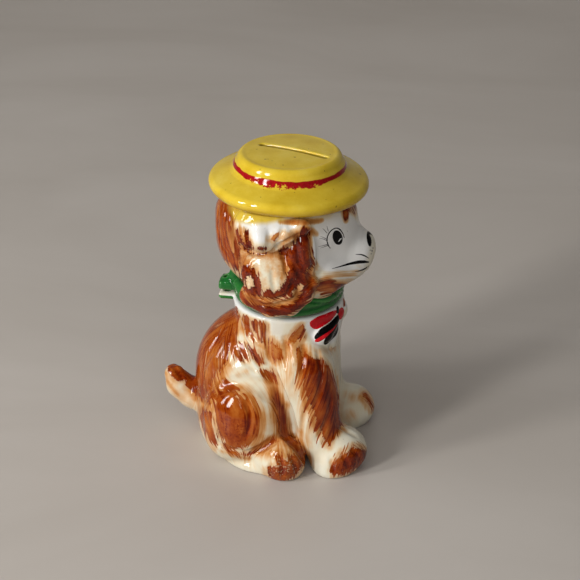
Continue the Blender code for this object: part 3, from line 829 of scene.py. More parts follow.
def coat_attributes(ob, lie, layers, far={}):
    """Paint, hair coordinates and creases at each point of a casting."""
    p, n = local_mm(ob), normals_of(ob)
    u, v = to_plan(p)
    a, l = lie(u, v)
    for name, layer in layers.items():
        value = sample(layer, u, v)
        if name in far:
            q = p - P_EYE
            z = -(q @ P_BACK)
            fu, fv = PLAN_C[0] + SCALE * (q @ P_RIGHT) / z, PLAN_C[1] - SCALE * (q @ P_UP) / z
            k = np.clip(0.5 + (n @ P_BACK) / 0.3, 0, 1) * (p[:, 1] > 2) * (p[:, 0] > 12) * (p[:, 2] < 50)
            value = value * (1 - k) + sample(far[name], fu, fv) * k
        attribute(ob, name, value)
    w = side_weight(n)
    attribute(ob, "lie", np.stack([a * 0.5, l * 0.5, w], 1), "FLOAT_VECTOR")
    attribute(ob, "lie2", np.stack([p[:, 1] + 0.15 * p[:, 2], -p[:, 2], w * 0], 1), "FLOAT_VECTOR")
    attribute(ob, "crease", hollows(ob))


def relief(ob, lie, layer, depth):
    """Raises the modelled hair: long soft ridges along its lie."""
    p, n = local_mm(ob), normals_of(ob)
    u, v = to_plan(p)
    a, l = lie(u, v)
    w = side_weight(n)

    def strands(x, y):
        r = noise(x * 0.42, y * 0.045, 3) * 0.65 + noise(x * 0.85 + 7, y * 0.08, 5) * 0.35
        return r - 0.5

    h = strands(a, l) * (1 - w) + strands((p[:, 1] + 0.15 * p[:, 2]) * 2, -p[:, 2] * 2) * w
    set_points(ob, p + n * (h * depth * sample(layer, u, v))[:, None])


pts, quads = body.mesh()
body_ob = make_mesh("body_casting", pts, quads)
thin_out(body_ob, 170000)
relief(body_ob, body_lie, fur, 0.16)
coat_attributes(body_ob, body_lie, {"wash": wash, "brown": np.clip(brown, -8, 8), "deep": deep, "comb": comb, "teeth": teeth, "blot": blot, "white": bodywhite, "hair": fur}, {"brown": far_brown, "wash": far_wash})


def bare_inside(ob, forms, floor_z=None):
    """Marks the unglazed clay: inside the hollows, and the foot the piece stands on."""
    p = local_mm(ob).astype(F32)
    d = union(forms, p[:, 0], p[:, 1], p[:, 2])
    v = np.clip(0.5 - (d - 1.2) / 1.6, 0, 1)
    if floor_z is not None:
        v = np.maximum(v, np.clip((floor_z - p[:, 2]) / 0.5 + 0.5, 0, 1))
    attribute(ob, "bare", v)


bare_inside(body_ob, body_hollow + [(drum(24.4, 60.0, RIM_Z - 7.0, 1.0), 1)], 0.35)


# ---- the head casting ----------------------------------------------------------------------
HAT_C = np.array([0.0, 0.0, 146.6])
TILT = math.radians(-1.5)
CT, ST = math.cos(TILT), math.sin(TILT)


def hat_local(x, y, z):
    """Places in the hat's own frame, whose axis leans with the hat."""
    x, z = x - HAT_C[0], z - HAT_C[2]
    return x * CT + z * ST, y, -x * ST + z * CT


def from_hat(x, y, z):
    return x * CT - z * ST + HAT_C[0], y, x * ST + z * CT + HAT_C[2]


skull = [
    (ell((-2, 0, 117.5), (34.4, 30.2, 30.0)), 1),
    (ell((-1, 0, 131), (34.0, 30.0, 18.6)), 8),
    (ell((4, 0, 104), (25.0, 25.0, 18.0)), 8),
    (ell((16, -13.5, 105), (14.2, 12.6, 12.8)), 6),
    (ell((16, 13.5, 105), (14.2, 12.6, 12.8)), 6),
    (ell((24.5, 0, 107.4), (16.6, 16.0, 13.4)), 6),
    (ell((23.4, 0, 119.4), (11.0, 15.2, 10.6)), 6),
    (ell((30.6, 0, 111.6), (12.2, 12.0, 11.0)), 4),
    (ell((34.6, 0, 114.0), (8.0, 9.2, 7.2)), 3),
]
ear_parts = {}
for s in (-1, 1):
    tier3 = [
        (cap((-14, 30.6 * s, 97.6), (-4, 31.6 * s, 93.6), 5.4, 5.7), 1),
        (cap((-4, 31.6 * s, 93.6), (5, 30.6 * s, 94.6), 5.7, 5.7), 1.5),
        (cap((5, 30.6 * s, 94.6), (12, 29.0 * s, 100.0), 5.6, 4.8), 1.5),
        (cap((12, 29.0 * s, 100.0), (15.5, 28.0 * s, 105.5), 4.6, 3.4), 1.5),
        (ell((-3, 29.6 * s, 101), (14, 6.0, 9.5)), 3),
    ]
    tier2 = [
        (ell((-4, 31.6 * s, 111), (14.2, 6.2, 13.2), (12 * s, 0, 0)), 1),
        (ell((-12, 34.2 * s, 102.6), (5, 3.0, 5)), 2),
        (ell((-4, 35.2 * s, 100.6), (6, 3.1, 5)), 2),
        (ell((4, 34.2 * s, 102.4), (5, 3.0, 5)), 2),
    ]
    tier1 = [
        (ell((-6.5, 30.6 * s, 134.6), (15.2, 6.4, 12.4), (10 * s, 0, 0)), 1),
        (ell((-14.2, 33.6 * s, 129.4), (4.8, 3.7, 4.6)), 2),
        (ell((-7.4, 35.4 * s, 128.8), (6.6, 3.5, 4.7)), 2),
        (ell((2.2, 34.2 * s, 133.0), (6.2, 3.6, 4.4)), 2),
        (ell((10.5, 31.3 * s, 136.4), (5.2, 3.8, 4.2)), 2),
    ]
    band = [
        (ell((9.5, 28.2 * s, 117), (7.8, 5.4, 18), (0, 6, 0)), 1),
        (cap((9, 29.6 * s, 108), (13.0, 30.4 * s, 103.5), 4.5, 3.6), 3),
    ]
    ear_parts[s] = (tier3, tier2, tier1, band)

HH = 0.56
head = Field((-40, -43, 73), (47, 43, 147), HH)
for sh, k in skull:
    head.add(sh, k)


def hatroom(x, y, z):
    lx = (x - F32(HAT_C[0])) * F32(CT) + (z - F32(HAT_C[2])) * F32(ST)
    lz = -(x - F32(HAT_C[0])) * F32(ST) + (z - F32(HAT_C[2])) * F32(CT)
    return lz + F32(4.55) + 0 * y + 0 * lx


for s in (-1, 1):
    tier3, tier2, tier1, band = ear_parts[s]
    lo = np.min([b[0] for g in (tier3, tier2, tier1, band) for (_, b), _ in g], 0) - 3
    hi = np.max([b[1] for g in (tier3, tier2, tier1, band) for (_, b), _ in g], 0) + 3

    def whole_ear(x, y, z, t3=tier3, t2=tier2, t1=tier1, bd=band):
        d = union(t3, x, y, z)
        d = smin(d, union(bd, x, y, z), F32(2.2))
        d = smin(d, union(t2, x, y, z), F32(0.9))
        return smin(d, union(t1, x, y, z), F32(0.9))

    head.add((whole_ear, (lo, hi)), 2.6)


def kerchief_form():
    def f(x, y, z):
        r = np.sqrt(x * x + y * y)
        a = np.arctan2(y, x)
        wave = 0.45 * np.sin(a * 3 + 0.6) + 0.25 * np.sin(a * 7 + 2.0)
        upper = np.sqrt((r - 24.4) ** 2 + ((z - 91.6 - wave * 0.5) * 1.05) ** 2) - 4.0
        lower = np.sqrt((r - 24.2) ** 2 + ((z - 87.2 - wave * 0.25) * 1.15) ** 2) - 3.5
        d = smin(upper, lower, F32(0.7))
        inner = smax(r - 25.0, np.abs(z - 89.5) - 5.2, 0.8)
        return smin(d, inner, F32(0.6))

    return f, (np.array([-29.5, -29.5, 83.5]), np.array([29.5, 29.5, 97]))


head.add(kerchief_form(), 0.9)
head_lug = [
    (slab((-35.5, -5.4, RIM_Z + 2.4), (-22.0, 5.4, RIM_Z + 7.0), 1.4), 1),
    (cap((-24.0, 0, 95.0), (-29.5, 0, 89.2), 6.0, 4.0), 3.0),
]
add_group(head, head_lug, 1.2)
# folds pressed into the neckerchief
for a0, da, z0, z1, r in (
    (-100, 26, 94.5, 88.5, 0.5), (-64, 30, 93.8, 88.0, 0.6), (-30, 24, 93.5, 87.4, 0.5), (-140, 30, 93.8, 88.6, 0.6),
    (8, 24, 93.6, 88.0, 0.5), (44, 30, 94.2, 88.0, 0.6), (88, 26, 93.6, 87.8, 0.5), (126, 28, 94.0, 88.6, 0.6),
):
    prev = None
    for t in np.linspace(0, 1, 7):
        a = math.radians(a0 + da * t)
        z = z0 + (z1 - z0) * t
        R = 28.6 - 0.10 * abs(z - 90.5)
        q = (R * math.cos(a), R * math.sin(a), z)
        if prev is not None:
            head.cut(cap(prev, q, r, r), 0.9)
        prev = q
head.cut(cap((38.0, -5.4, 101.6), (38.0, 5.4, 101.6), 0.6, 0.6), 1.2)
# partings in the coat, the steps of the ears and the fall of the curls
carve(
    head,
    [
        ([(236, 232), (241, 245), (250, 253), (262, 254.5), (272, 251), (280, 245), (292, 238), (303, 232)], 1.0, 0.8, 0.8),
        ([(242, 289), (250, 295), (262, 299), (276, 300), (287, 295), (292, 284), (293, 270)], 0.9, 0.75, 0.8),
        ([(309, 232), (312, 246), (312, 258), (314, 264), (309, 274), (311, 284), (317, 291)], 1.2, 0.35, 1.6),
        ([(297, 246), (298, 258), (302, 268)], 1.0, 0.22, 1.3),
        ([(282, 252), (286, 264), (287, 276)], 1.0, 0.3, 1.4),
        ([(256, 266), (255, 280), (257, 291)], 0.9, 0.2, 1.3),
        ([(272, 270), (273, 282), (275, 292)], 0.9, 0.2, 1.3),
        ([(248, 299), (260, 305), (276, 306), (290, 301), (300, 292)], 0.9, 0.35, 1.1),
        ([(252, 304), (264, 311), (280, 312)], 0.8, 0.3, 1.0),
        ([(246, 228), (247, 240), (252, 250)], 1.0, 0.4, 1.2),
        ([(240, 226), (240, 236), (243, 246)], 0.9, 0.35, 1.1),
        ([(268, 234), (266, 244), (264, 252)], 1.1, 0.35, 1.3),
        ([(283, 228), (279, 238), (277, 245)], 1.1, 0.35, 1.3),
        ([(234, 214), (233, 236), (238, 258), (240, 272)], 1.2, 0.5, 1.4),
        ([(226, 206), (225, 228), (230, 248), (236, 264)], 1.0, 0.4, 1.2),
        ([(218, 208), (217, 228), (221, 246), (230, 260)], 1.0, 0.4, 1.2),
        ([(222, 204), (221, 226), (225, 246), (233, 262)], 0.8, 0.3, 1.0),
        ([(298, 300), (306, 290), (312, 284)], 0.9, 0.4, 1.1),
    ],
    [
        ([(258, 226), (260, 240), (260, 248)], 3.0, 0.5, 2.6),
        ([(303, 238), (303, 250), (306, 262)], 1.8, 0.22, 1.8),
        ([(292, 250), (291, 262), (293, 276)], 1.8, 0.2, 1.8),
        ([(230, 212), (229, 236), (235, 256)], 1.6, 0.35, 1.4),
    ],
)

add_group(head, [(drum(23.2, 75.5, 104.0, 0.9), 1)], 1.2)
head_hollow = [
    (ell((-2.2, 0, 118), (29, 26, 27.5)), 1),
    (ell((-3, 0, 132), (25, 24.5, 18)), 4),
    (ell((21, 0, 107.5), (14, 11.5, 9.5)), 3),
]
throat = [(drum(19.2, 68.0, 106.0, 1.0), 1)]
add_cut(head, head_hollow, 1.5)
add_cut(head, throat, 1.0)
head.cut(cap((-31.5, 0, RIM_Z - 2), (-31.5, 0, RIM_Z + 12), 1.9, 1.9), 0.7)
head.keep(hatroom, 0.3)

pts, quads = head.mesh()
head_ob = make_mesh("head_casting", pts, quads)
thin_out(head_ob, 165000)

head_lie = combed(
    [
        (205, 215, -0.3, 1), (218, 212, -0.15, 1), (215, 240, 0.05, 1), (222, 262, 0.4, 1), (232, 268, 0.7, 0.8),
        (236, 222, 0.15, 1), (232, 240, 0.4, 1), (245, 240, 0.1, 1), (262, 232, -0.05, 1), (280, 234, -0.15, 1),
        (296, 228, -0.25, 1), (262, 246, 0.0, 1), (246, 262, -0.12, 1), (262, 268, 0.1, 1), (280, 268, 0.3, 1),
        (272, 286, 0.1, 1), (250, 286, 0.1, 1), (288, 290, 0.2, 1), (246, 300, 0.85, 0.6), (262, 307, 1, 0.2),
        (280, 305, 1, -0.15), (298, 301, 0.75, -0.6), (309, 290, 0.35, -0.9), (302, 240, 0.1, 1), (298, 258, 0.35, 1),
        (303, 272, 0.75, 0.7), (296, 284, 0.3, 1), (312, 232, 0.1, 1), (322, 284, 0.9, -0.35), (340, 276, 0.95, -0.2),
        (350, 205, -0.3, 1), (330, 250, 0.2, 1), (240, 320, 0.2, 1),
    ]
)
wash = np.full(UU.shape, 0.03)
brown = np.full(UU.shape, -8.0)
deep = np.full(UU.shape, 0.75)
comb = np.full(UU.shape, 0.3)
teeth = np.full(UU.shape, 0.28)
blot = np.full(UU.shape, 0.10)
brush(blot, 0.90, [(246, 240, 8), (250, 262, 9), (252, 282, 9), (270, 270, 12), (280, 284, 9), (284, 260, 8)], 5)
brush(blot, 0.75, [(300, 250, 9), (302, 270, 9), (290, 280, 8)], 5)
brush(blot, 0.45, [(262, 306, 10), (284, 308, 10), (302, 298, 8)], 5)
brush(blot, 0.80, [(276, 238, 8), (290, 236, 8)], 4)
brush(teeth, 0.7, [(306, 236, 5), (308, 266, 6)], 3)
brush(teeth, 0.15, [(250, 270, 12), (250, 286, 9), (276, 284, 11)], 4)
brush(teeth, 0.2, [(244, 238, 9), (286, 258, 9)], 4)
# back of the head
patch(brown, [(195, 190), (236, 195), (239, 208), (236, 216), (233, 225), (235, 236), (238, 246), (240, 256), (241, 268), (238, 274), (229, 264), (216, 256), (200, 240)])
brush(deep, 0.42, [(216, 200, 14), (218, 226, 14), (226, 250, 12)], 4)
brush(deep, 0.60, [(232, 206, 4), (226, 212, 4), (229, 244, 4), (234, 260, 4)], 4)
brush(comb, 0.75, [(222, 206, 12), (222, 232, 12), (232, 256, 8)], 4)
brush(wash, 0.55, [(222, 206, 14), (222, 232, 14), (234, 258, 8)], 4)
brush(wash, 0.35, [(240, 216, 3), (238, 250, 4)], 3)
spare_line(brown, [(236, 198, 0.8), (235, 210, 1.2), (231, 224, 1.0)])
spare_line(brown, [(226, 222, 0.5), (229, 236, 1.4), (233, 250, 0.8)])
spare_line(brown, [(219, 206, 0.5), (219, 222, 0.9), (222, 238, 0.5)])
# top tier of the ear
patch(brown, [(234, 230), (238, 229), (242, 235), (243, 241), (247, 245), (251, 250), (249, 253), (242, 247), (237, 240)])
patch(brown, [(246, 229), (249.5, 230), (249, 238), (252, 244), (255, 249), (251, 251), (246, 244), (244, 236)])
patch(brown, [(253, 248.5), (259, 246.3), (265, 247), (271, 248.5), (262, 250.8)])
# a dark line along the top tier's lower edge: painted shade under its step
stroke(brown, [(250, 253, 0.8), (262, 254.5, 1.0), (272, 251, 0.6)])
patch(brown, [(270, 240), (273, 235), (280, 231), (279, 236), (274, 241)])
brush(deep, 0.10, [(271, 240, 3), (280, 232, 3)], 2)
brush(wash, 0.30, [(268, 240, 4), (282, 234, 4), (296, 236, 4)], 4)
brush(wash, 0.45, [(286, 240, 4), (296, 234, 3)], 4)
brush(wash, 0.50, [(240, 236, 5), (246, 246, 5)], 4)
brush(wash, 0.55, [(285, 222, 1.2), (304, 222.5, 1.6), (320, 222, 1.2)], 1.8)
brush(wash, 0.26, [(300, 228, 3), (308, 232, 3)], 3)
# middle tier
brush(wash, 0.36, [(248, 258, 8), (262, 262, 10), (272, 272, 10)], 5)
brush(wash, 0.55, [(241, 256, 4), (243, 266, 4), (280, 256, 5), (284, 268, 4)], 4)
brush(wash, 0.24, [(260, 264, 5), (270, 264, 5)], 5)
brush(wash, 0.10, [(267, 277, 6)], 4)
patch(brown, [(239, 272), (243, 266), (247, 264), (251, 268), (255, 269), (258, 273), (261, 279), (262, 288), (263, 297), (252, 296), (245, 293), (240, 286)])
spare(brown, [(246, 279), (249, 276), (253, 280), (253, 286), (249, 288), (245, 285)])
patch(brown, [(262, 289), (268, 290), (274, 292), (280, 289), (284, 284), (286, 276), (289, 267), (294, 262), (301, 262), (303, 275), (299, 284), (292, 293), (284, 298), (270, 299), (262, 298)])
brush(deep, 0.80, [(245, 276, 6), (256, 284, 6), (272, 292, 6), (290, 280, 6)], 4)
brush(comb, 0.02, [(245, 276, 6), (256, 284, 6), (272, 293, 4), (290, 280, 6), (300, 262, 8), (302, 244, 6)], 4)
# the lock in front of the ear
patch(brown, [(306, 228), (310, 231), (308, 238), (304, 243), (306, 250), (306, 260), (313, 261), (315, 267), (308, 271), (304, 274), (303, 282), (297, 286), (291, 293), (286, 288), (288, 276), (289, 267), (285, 259), (277, 251), (283, 247), (291, 247), (296, 241), (300, 235)])
brush(deep, 0.88, [(306, 231, 4), (302, 244, 6), (300, 256, 7), (304, 266, 6), (296, 276, 6)], 3)
brush(deep, 0.45, [(284, 253, 3), (289, 262, 3)], 3)
patch(brown, [(306, 236), (309, 238), (310.5, 243), (311, 250), (310, 257), (314, 260), (315.5, 264), (310, 269), (304, 262), (302, 250), (303, 242)])
patch(brown, [(300, 270), (308, 272), (314, 279), (318, 287), (314, 294), (306, 292), (299, 288)])
brush(deep, 0.50, [(308, 244, 2), (309, 256, 2)], 2)
brush(deep, 0.48, [(308, 276, 4), (314, 286, 4)], 3)
brush(wash, 0.60, [(306, 232, 4), (308, 250, 4), (306, 272, 6), (312, 284, 5)], 3)
brush(wash, 0.50, [(311, 231, 3), (316, 234, 2)], 2.5)
brush(wash, 0.12, [(294, 252, 1), (291, 262, 1)], 1.5)
# bottom tier
patch(brown, [(238, 288), (244, 293), (252, 297), (264, 300), (278, 300), (288, 296), (294, 290), (302, 284), (314, 290), (313, 298), (305, 305), (298, 311), (288, 315), (272, 317), (258, 314), (248, 309), (241, 302), (238, 294)])
spare(brown, [(269, 304), (276, 301), (286, 300), (292, 296), (295, 290), (299, 284), (303, 286), (302, 292), (298, 298), (292, 303), (286, 305), (277, 307)])
spare_line(brown, [(250, 297.5, 0.5), (262, 300.5, 0.9), (280, 301, 0.6)])
# a pale streak left unpainted on the bottom tier: a painted highlight
spare_line(brown, [(246, 297, 0.6), (254, 302, 1.5), (264, 305, 1.6), (274, 306, 0.8)])
brush(deep, 0.30, [(244, 294, 3), (258, 301, 4), (270, 303, 3)], 3)
brush(deep, 0.85, [(248, 304, 4), (262, 311, 4), (278, 312, 4), (292, 308, 4), (303, 298, 4), (309, 292, 4)], 3)
brush(comb, 0.55, [(250, 298, 5), (264, 304, 5)], 4)
brush(wash, 0.62, [(244, 296, 6), (262, 305, 7), (284, 308, 6), (300, 300, 6)], 4)
brush(wash, 0.20, [(274, 304, 2.5), (288, 302, 2.5), (297, 292, 2.5)], 2)
# muzzle and forehead
patch(brown, [(316, 291), (318, 284), (322, 281), (330, 278.5), (336, 280), (333, 283), (342, 283.5), (348, 284), (347, 290), (334, 294), (322, 295)])
brush(deep, 0.76, [(320, 282, 3), (334, 281, 3), (344, 285, 3)], 2.5)
brush(deep, 0.25, [(318, 289, 3), (332, 289, 3)], 2.5)
brush(comb, 0.62, [(320, 284, 5), (342, 285, 5)], 3)
brush(wash, 0.55, [(318, 286, 4), (332, 286, 5), (344, 286, 4)], 3)
brush(wash, 0.40, [(328, 277, 4), (338, 274, 5), (350, 276, 5), (358, 270, 3)], 5)
brush(wash, 0.62, [(346.5, 204, 3), (345, 212, 3.4), (345.5, 220, 2.4)], 2.5)
patch(brown, [(342.5, 210), (346, 206), (349.5, 210), (348.5, 219), (345, 222), (343, 218)])
brush(deep, 0.30, [(346, 214, 3)], 2)
patch(brown, [(353, 202), (357, 203), (357, 210), (354, 213), (352.5, 208)])
headwhite = np.zeros(UU.shape)
brush(headwhite, 1.0, [(330, 215, 18), (340, 245, 30), (345, 258, 22)], 2)
brush(headwhite, 1.0, [(246, 222, 9), (262, 229, 14), (284, 230, 13)], 2)
headfur = np.full(UU.shape, 1.0)
brush(headfur, 0.2, [(250, 222, 6), (256, 230, 7), (266, 238, 8), (286, 228, 8)], 4)
brush(headfur, 0.4, [(252, 258, 5), (264, 262, 8), (270, 272, 6)], 5)
brush(headfur, 0.0, [(334, 215, 14), (344, 245, 28), (346, 262, 22)], 3)
bleed = np.zeros(UU.shape)
brush(bleed, 1.0, [(238, 207, 8), (256, 210, 9), (275, 210, 9), (290, 208, 6)], 4)
brush(bleed, 1.0, [(240, 215, 7), (252, 217, 7.5), (266, 217, 6.5), (282, 216, 4)], 2.5)
brush(wash, 0.62, [(280, 222, 1.8), (300, 222, 2.6), (322, 220, 1.8)], 1.6)
brush(bleed, 0.7, [(290, 212, 5), (326, 212, 5)], 4)


def not_on_scarf(ob):
    """1 on the neckerchief and the lug, 0 on the head itself."""
    p = local_mm(ob).astype(F32)
    x, y, z = p.T
    sk = union(skull, x, y, z)
    for s in (-1, 1):
        for g in ear_parts[s]:
            sk = np.minimum(sk, union(g, x, y, z))
    f, _ = kerchief_form()
    k = np.minimum(f(x, y, z), union(head_lug, x, y, z))
    on = np.clip(0.5 + (sk - k - 0.1) / 0.7, 0, 1)
    return on * np.clip(0.5 + (z - 83.6) / 0.6, 0, 1)


relief(head_ob, head_lie, headfur, 0.42)
green = not_on_scarf(head_ob)
coat_attributes(head_ob, head_lie, {"wash": wash, "brown": np.clip(brown, -8, 8), "deep": deep, "comb": comb, "teeth": teeth, "blot": blot, "white": headwhite, "hair": headfur, "bleed": bleed})
attribute(head_ob, "green", green)
bare_inside(head_ob, head_hollow + throat + [(drum(30.0, 70.0, RIM_Z - 1.5, 0.5), 1)])
bp = local_mm(body_ob).astype(F32)
on_lug = union(body_lug, bp[:, 0], bp[:, 1], bp[:, 2])
rr = np.hypot(bp[:, 0], bp[:, 1])
attribute(
    body_ob, "green",
    np.clip(0.5 + (0.5 - on_lug) / 0.7, 0, 1) * np.clip(0.5 + (rr - 28.0) / 0.8, 0, 1)
    * np.clip(0.5 + (RIM_Z - 0.5 - bp[:, 2]) / 0.6, 0.0, 1),
)
attribute(body_ob, "bleed", np.zeros(len(bp)))


# ---- the hat -------------------------------------------------------------------------------
def arc(c, r, a0, a1, n):
    return [
        (c[0] + r * math.cos(math.radians(a0 + (a1 - a0) * i / n)), c[1] + r * math.sin(math.radians(a0 + (a1 - a0) * i / n)))
        for i in range(n + 1)
    ]


HAT = (
    [(0, 15.6), (9, 15.4), (17, 15.1), (21.4, 14.8)]
    + arc((22.2, 11.4), 3.6, 76, 12, 8)
    + [(26.9, 10.5), (27.0, 10.2), (27.1, 9.9), (27.5, 8.6), (27.9, 7.6), (29.2, 6.5), (32, 5.4), (34.6, 4.3)]
    + arc((35.7, 0), 3.6, 74, -90, 18)
    + [(31, -4.4), (27, -4.8), (22.6, -4.8), (22.4, 8.0), (20.6, 10.6), (0, 11.4)]
)


def outline_field(poly, r0, r1, z0, z1, h):
    """Signed distance to a closed outline in (r, z), on a grid."""
    gr, gz = np.meshgrid(np.arange(r0, r1 + h, h), np.arange(z0, z1 + h, h), indexing="ij")
    best = np.full(gr.shape, 1e9)
    inside = np.zeros(gr.shape, bool)
    n = len(poly)
    for i in range(n):
        (ax, ay), (bx, by) = poly[i], poly[(i + 1) % n]
        dx, dy = bx - ax, by - ay
        t = np.clip(((gr - ax) * dx + (gz - ay) * dy) / (dx * dx + dy * dy + 1e-12), 0, 1)
        best = np.minimum(best, np.hypot(gr - ax - t * dx, gz - ay - t * dy))
        if ay != by:
            c = ((ay > gz) != (by > gz)) & (gr < ax + (gz - ay) * dx / (dy if dy else 1e-12))
            inside ^= c
    return np.where(inside, -best, best)


GR = 0.25
closed = [(-6, 15.6)] + HAT + [(-6, 11.4)]
hat_sd = outline_field(closed, -2, 48, -10, 24, GR)


def hat_form(x, y, z):
    lx = (x - F32(HAT_C[0])) * F32(CT) + (z - F32(HAT_C[2])) * F32(ST)
    lz = -(x - F32(HAT_C[0])) * F32(ST) + (z - F32(HAT_C[2])) * F32(CT)
    r = np.sqrt(lx * lx + y * y)
    a = np.arctan2(y + 0 * lx, lx + 0 * y)
    # the crown stands straighter than the brim, and the brim was never quite round or flat
    out = np.clip((r - 27.5) / 8.0, 0, 1)
    lz = lz - lx * F32(math.sin(math.radians(1.1))) * np.clip((lz - 4.0) / 4.0, 0, 1) * (1 - out)
    lz = lz + lx * F32(math.sin(math.radians(0.35))) * out
    r = r + out * (0.22 * np.cos(2 * a + 0.7) + 0.14 * np.sin(3 * a))
    lz = lz + out * (0.14 * np.sin(2 * a + 1.2) + 0.12 * np.sin(5 * a)) + 0 * r
    gx = np.clip((r + 2) / GR, 0, hat_sd.shape[0] - 1.01)
    gz = np.clip((lz + 10) / GR, 0, hat_sd.shape[1] - 1.01)
    gx, gz = np.broadcast_arrays(gx, gz)
    ix, iz = gx.astype(int), gz.astype(int)
    fx, fz = gx - ix, gz - iz
    s = hat_sd
    return (
        (s[ix, iz] * (1 - fx) + s[ix + 1, iz] * fx) * (1 - fz)
        + (s[ix, iz + 1] * (1 - fx) + s[ix + 1, iz + 1] * fx) * fz
    ).astype(F32)


hatf = Field((-42.5, -42.5, 137), (42.5, 42.5, 165), 0.46)
hatf.d[:] = hat_form(
    *[
        (hatf.lo[i] + hatf.h * np.arange(hatf.n[i])).astype(F32).reshape([-1 if j == i else 1 for j in range(3)])
        for i in range(3)
    ]
)
sk_a = math.radians(-17.6)
slot_pts = []
for t in np.linspace(-1, 1, 9):
    q = 16.8 * t
    w = 0.5 * (1 - t * t)
    lx, ly = 1.7 + q * math.cos(sk_a) - w * math.sin(sk_a), 0.6 + q * math.sin(sk_a) + w * math.cos(sk_a)
    slot_pts.append((lx, ly))


def slot_form(x, y, z):
    lx = (x - F32(HAT_C[0])) * F32(CT) + (z - F32(HAT_C[2])) * F32(ST)
    lz = -(x - F32(HAT_C[0])) * F32(ST) + (z - F32(HAT_C[2])) * F32(CT)
    d = np.full(np.broadcast(lx, y, lz).shape, 50.0, F32)
    for (ax, ay), (bx, by) in zip(slot_pts, slot_pts[1:]):
        dx, dy = bx - ax, by - ay
        t = np.clip(((lx - F32(ax)) * dx + (y - F32(ay)) * dy) / (dx * dx + dy * dy), 0, 1)
        d = np.minimum(d, np.sqrt((lx - ax - t * dx) ** 2 + (y - ay - t * dy) ** 2) - 1.4)
    return smax(d, 7.0 - lz, 0.3)


hatf.cut((slot_form, (np.array([-25, -14, 150]), np.array([25, 12, 165]))), 0.9)
pts, quads = hatf.mesh()
hat_ob = make_mesh("hat_casting", pts, quads)
thin_out(hat_ob, 90000)
hp = local_mm(hat_ob)
hlx, hly, hlz = hat_local(*hp.T)
attribute(hat_ob, "hat", np.stack([hlx, hly, hlz], 1), "FLOAT_VECTOR")
hr = np.hypot(hlx, hly)
in_slot = np.full(len(hp), 50.0)
for (ax, ay), (bx, by) in zip(slot_pts, slot_pts[1:]):
    dx, dy = bx - ax, by - ay
    t = np.clip(((hlx - ax) * dx + (hly - ay) * dy) / (dx * dx + dy * dy), 0, 1)
    in_slot = np.minimum(in_slot, np.hypot(hlx - ax - t * dx, hly - ay - t * dy))
# the slot's walls, which the hat's material darkens as painted shade
attribute(hat_ob, "slot", np.clip((1.75 - in_slot) / 0.5, 0, 1) * np.clip((15.0 - hlz) / 0.7, 0, 1))
attribute(hat_ob, "bare", np.clip(0.5 + (hlz * 0 + np.where(hr < 23.2, 11.2 - hlz, -5)) / 1.0, 0, 1))
attribute(hat_ob, "crease", hollows(hat_ob))


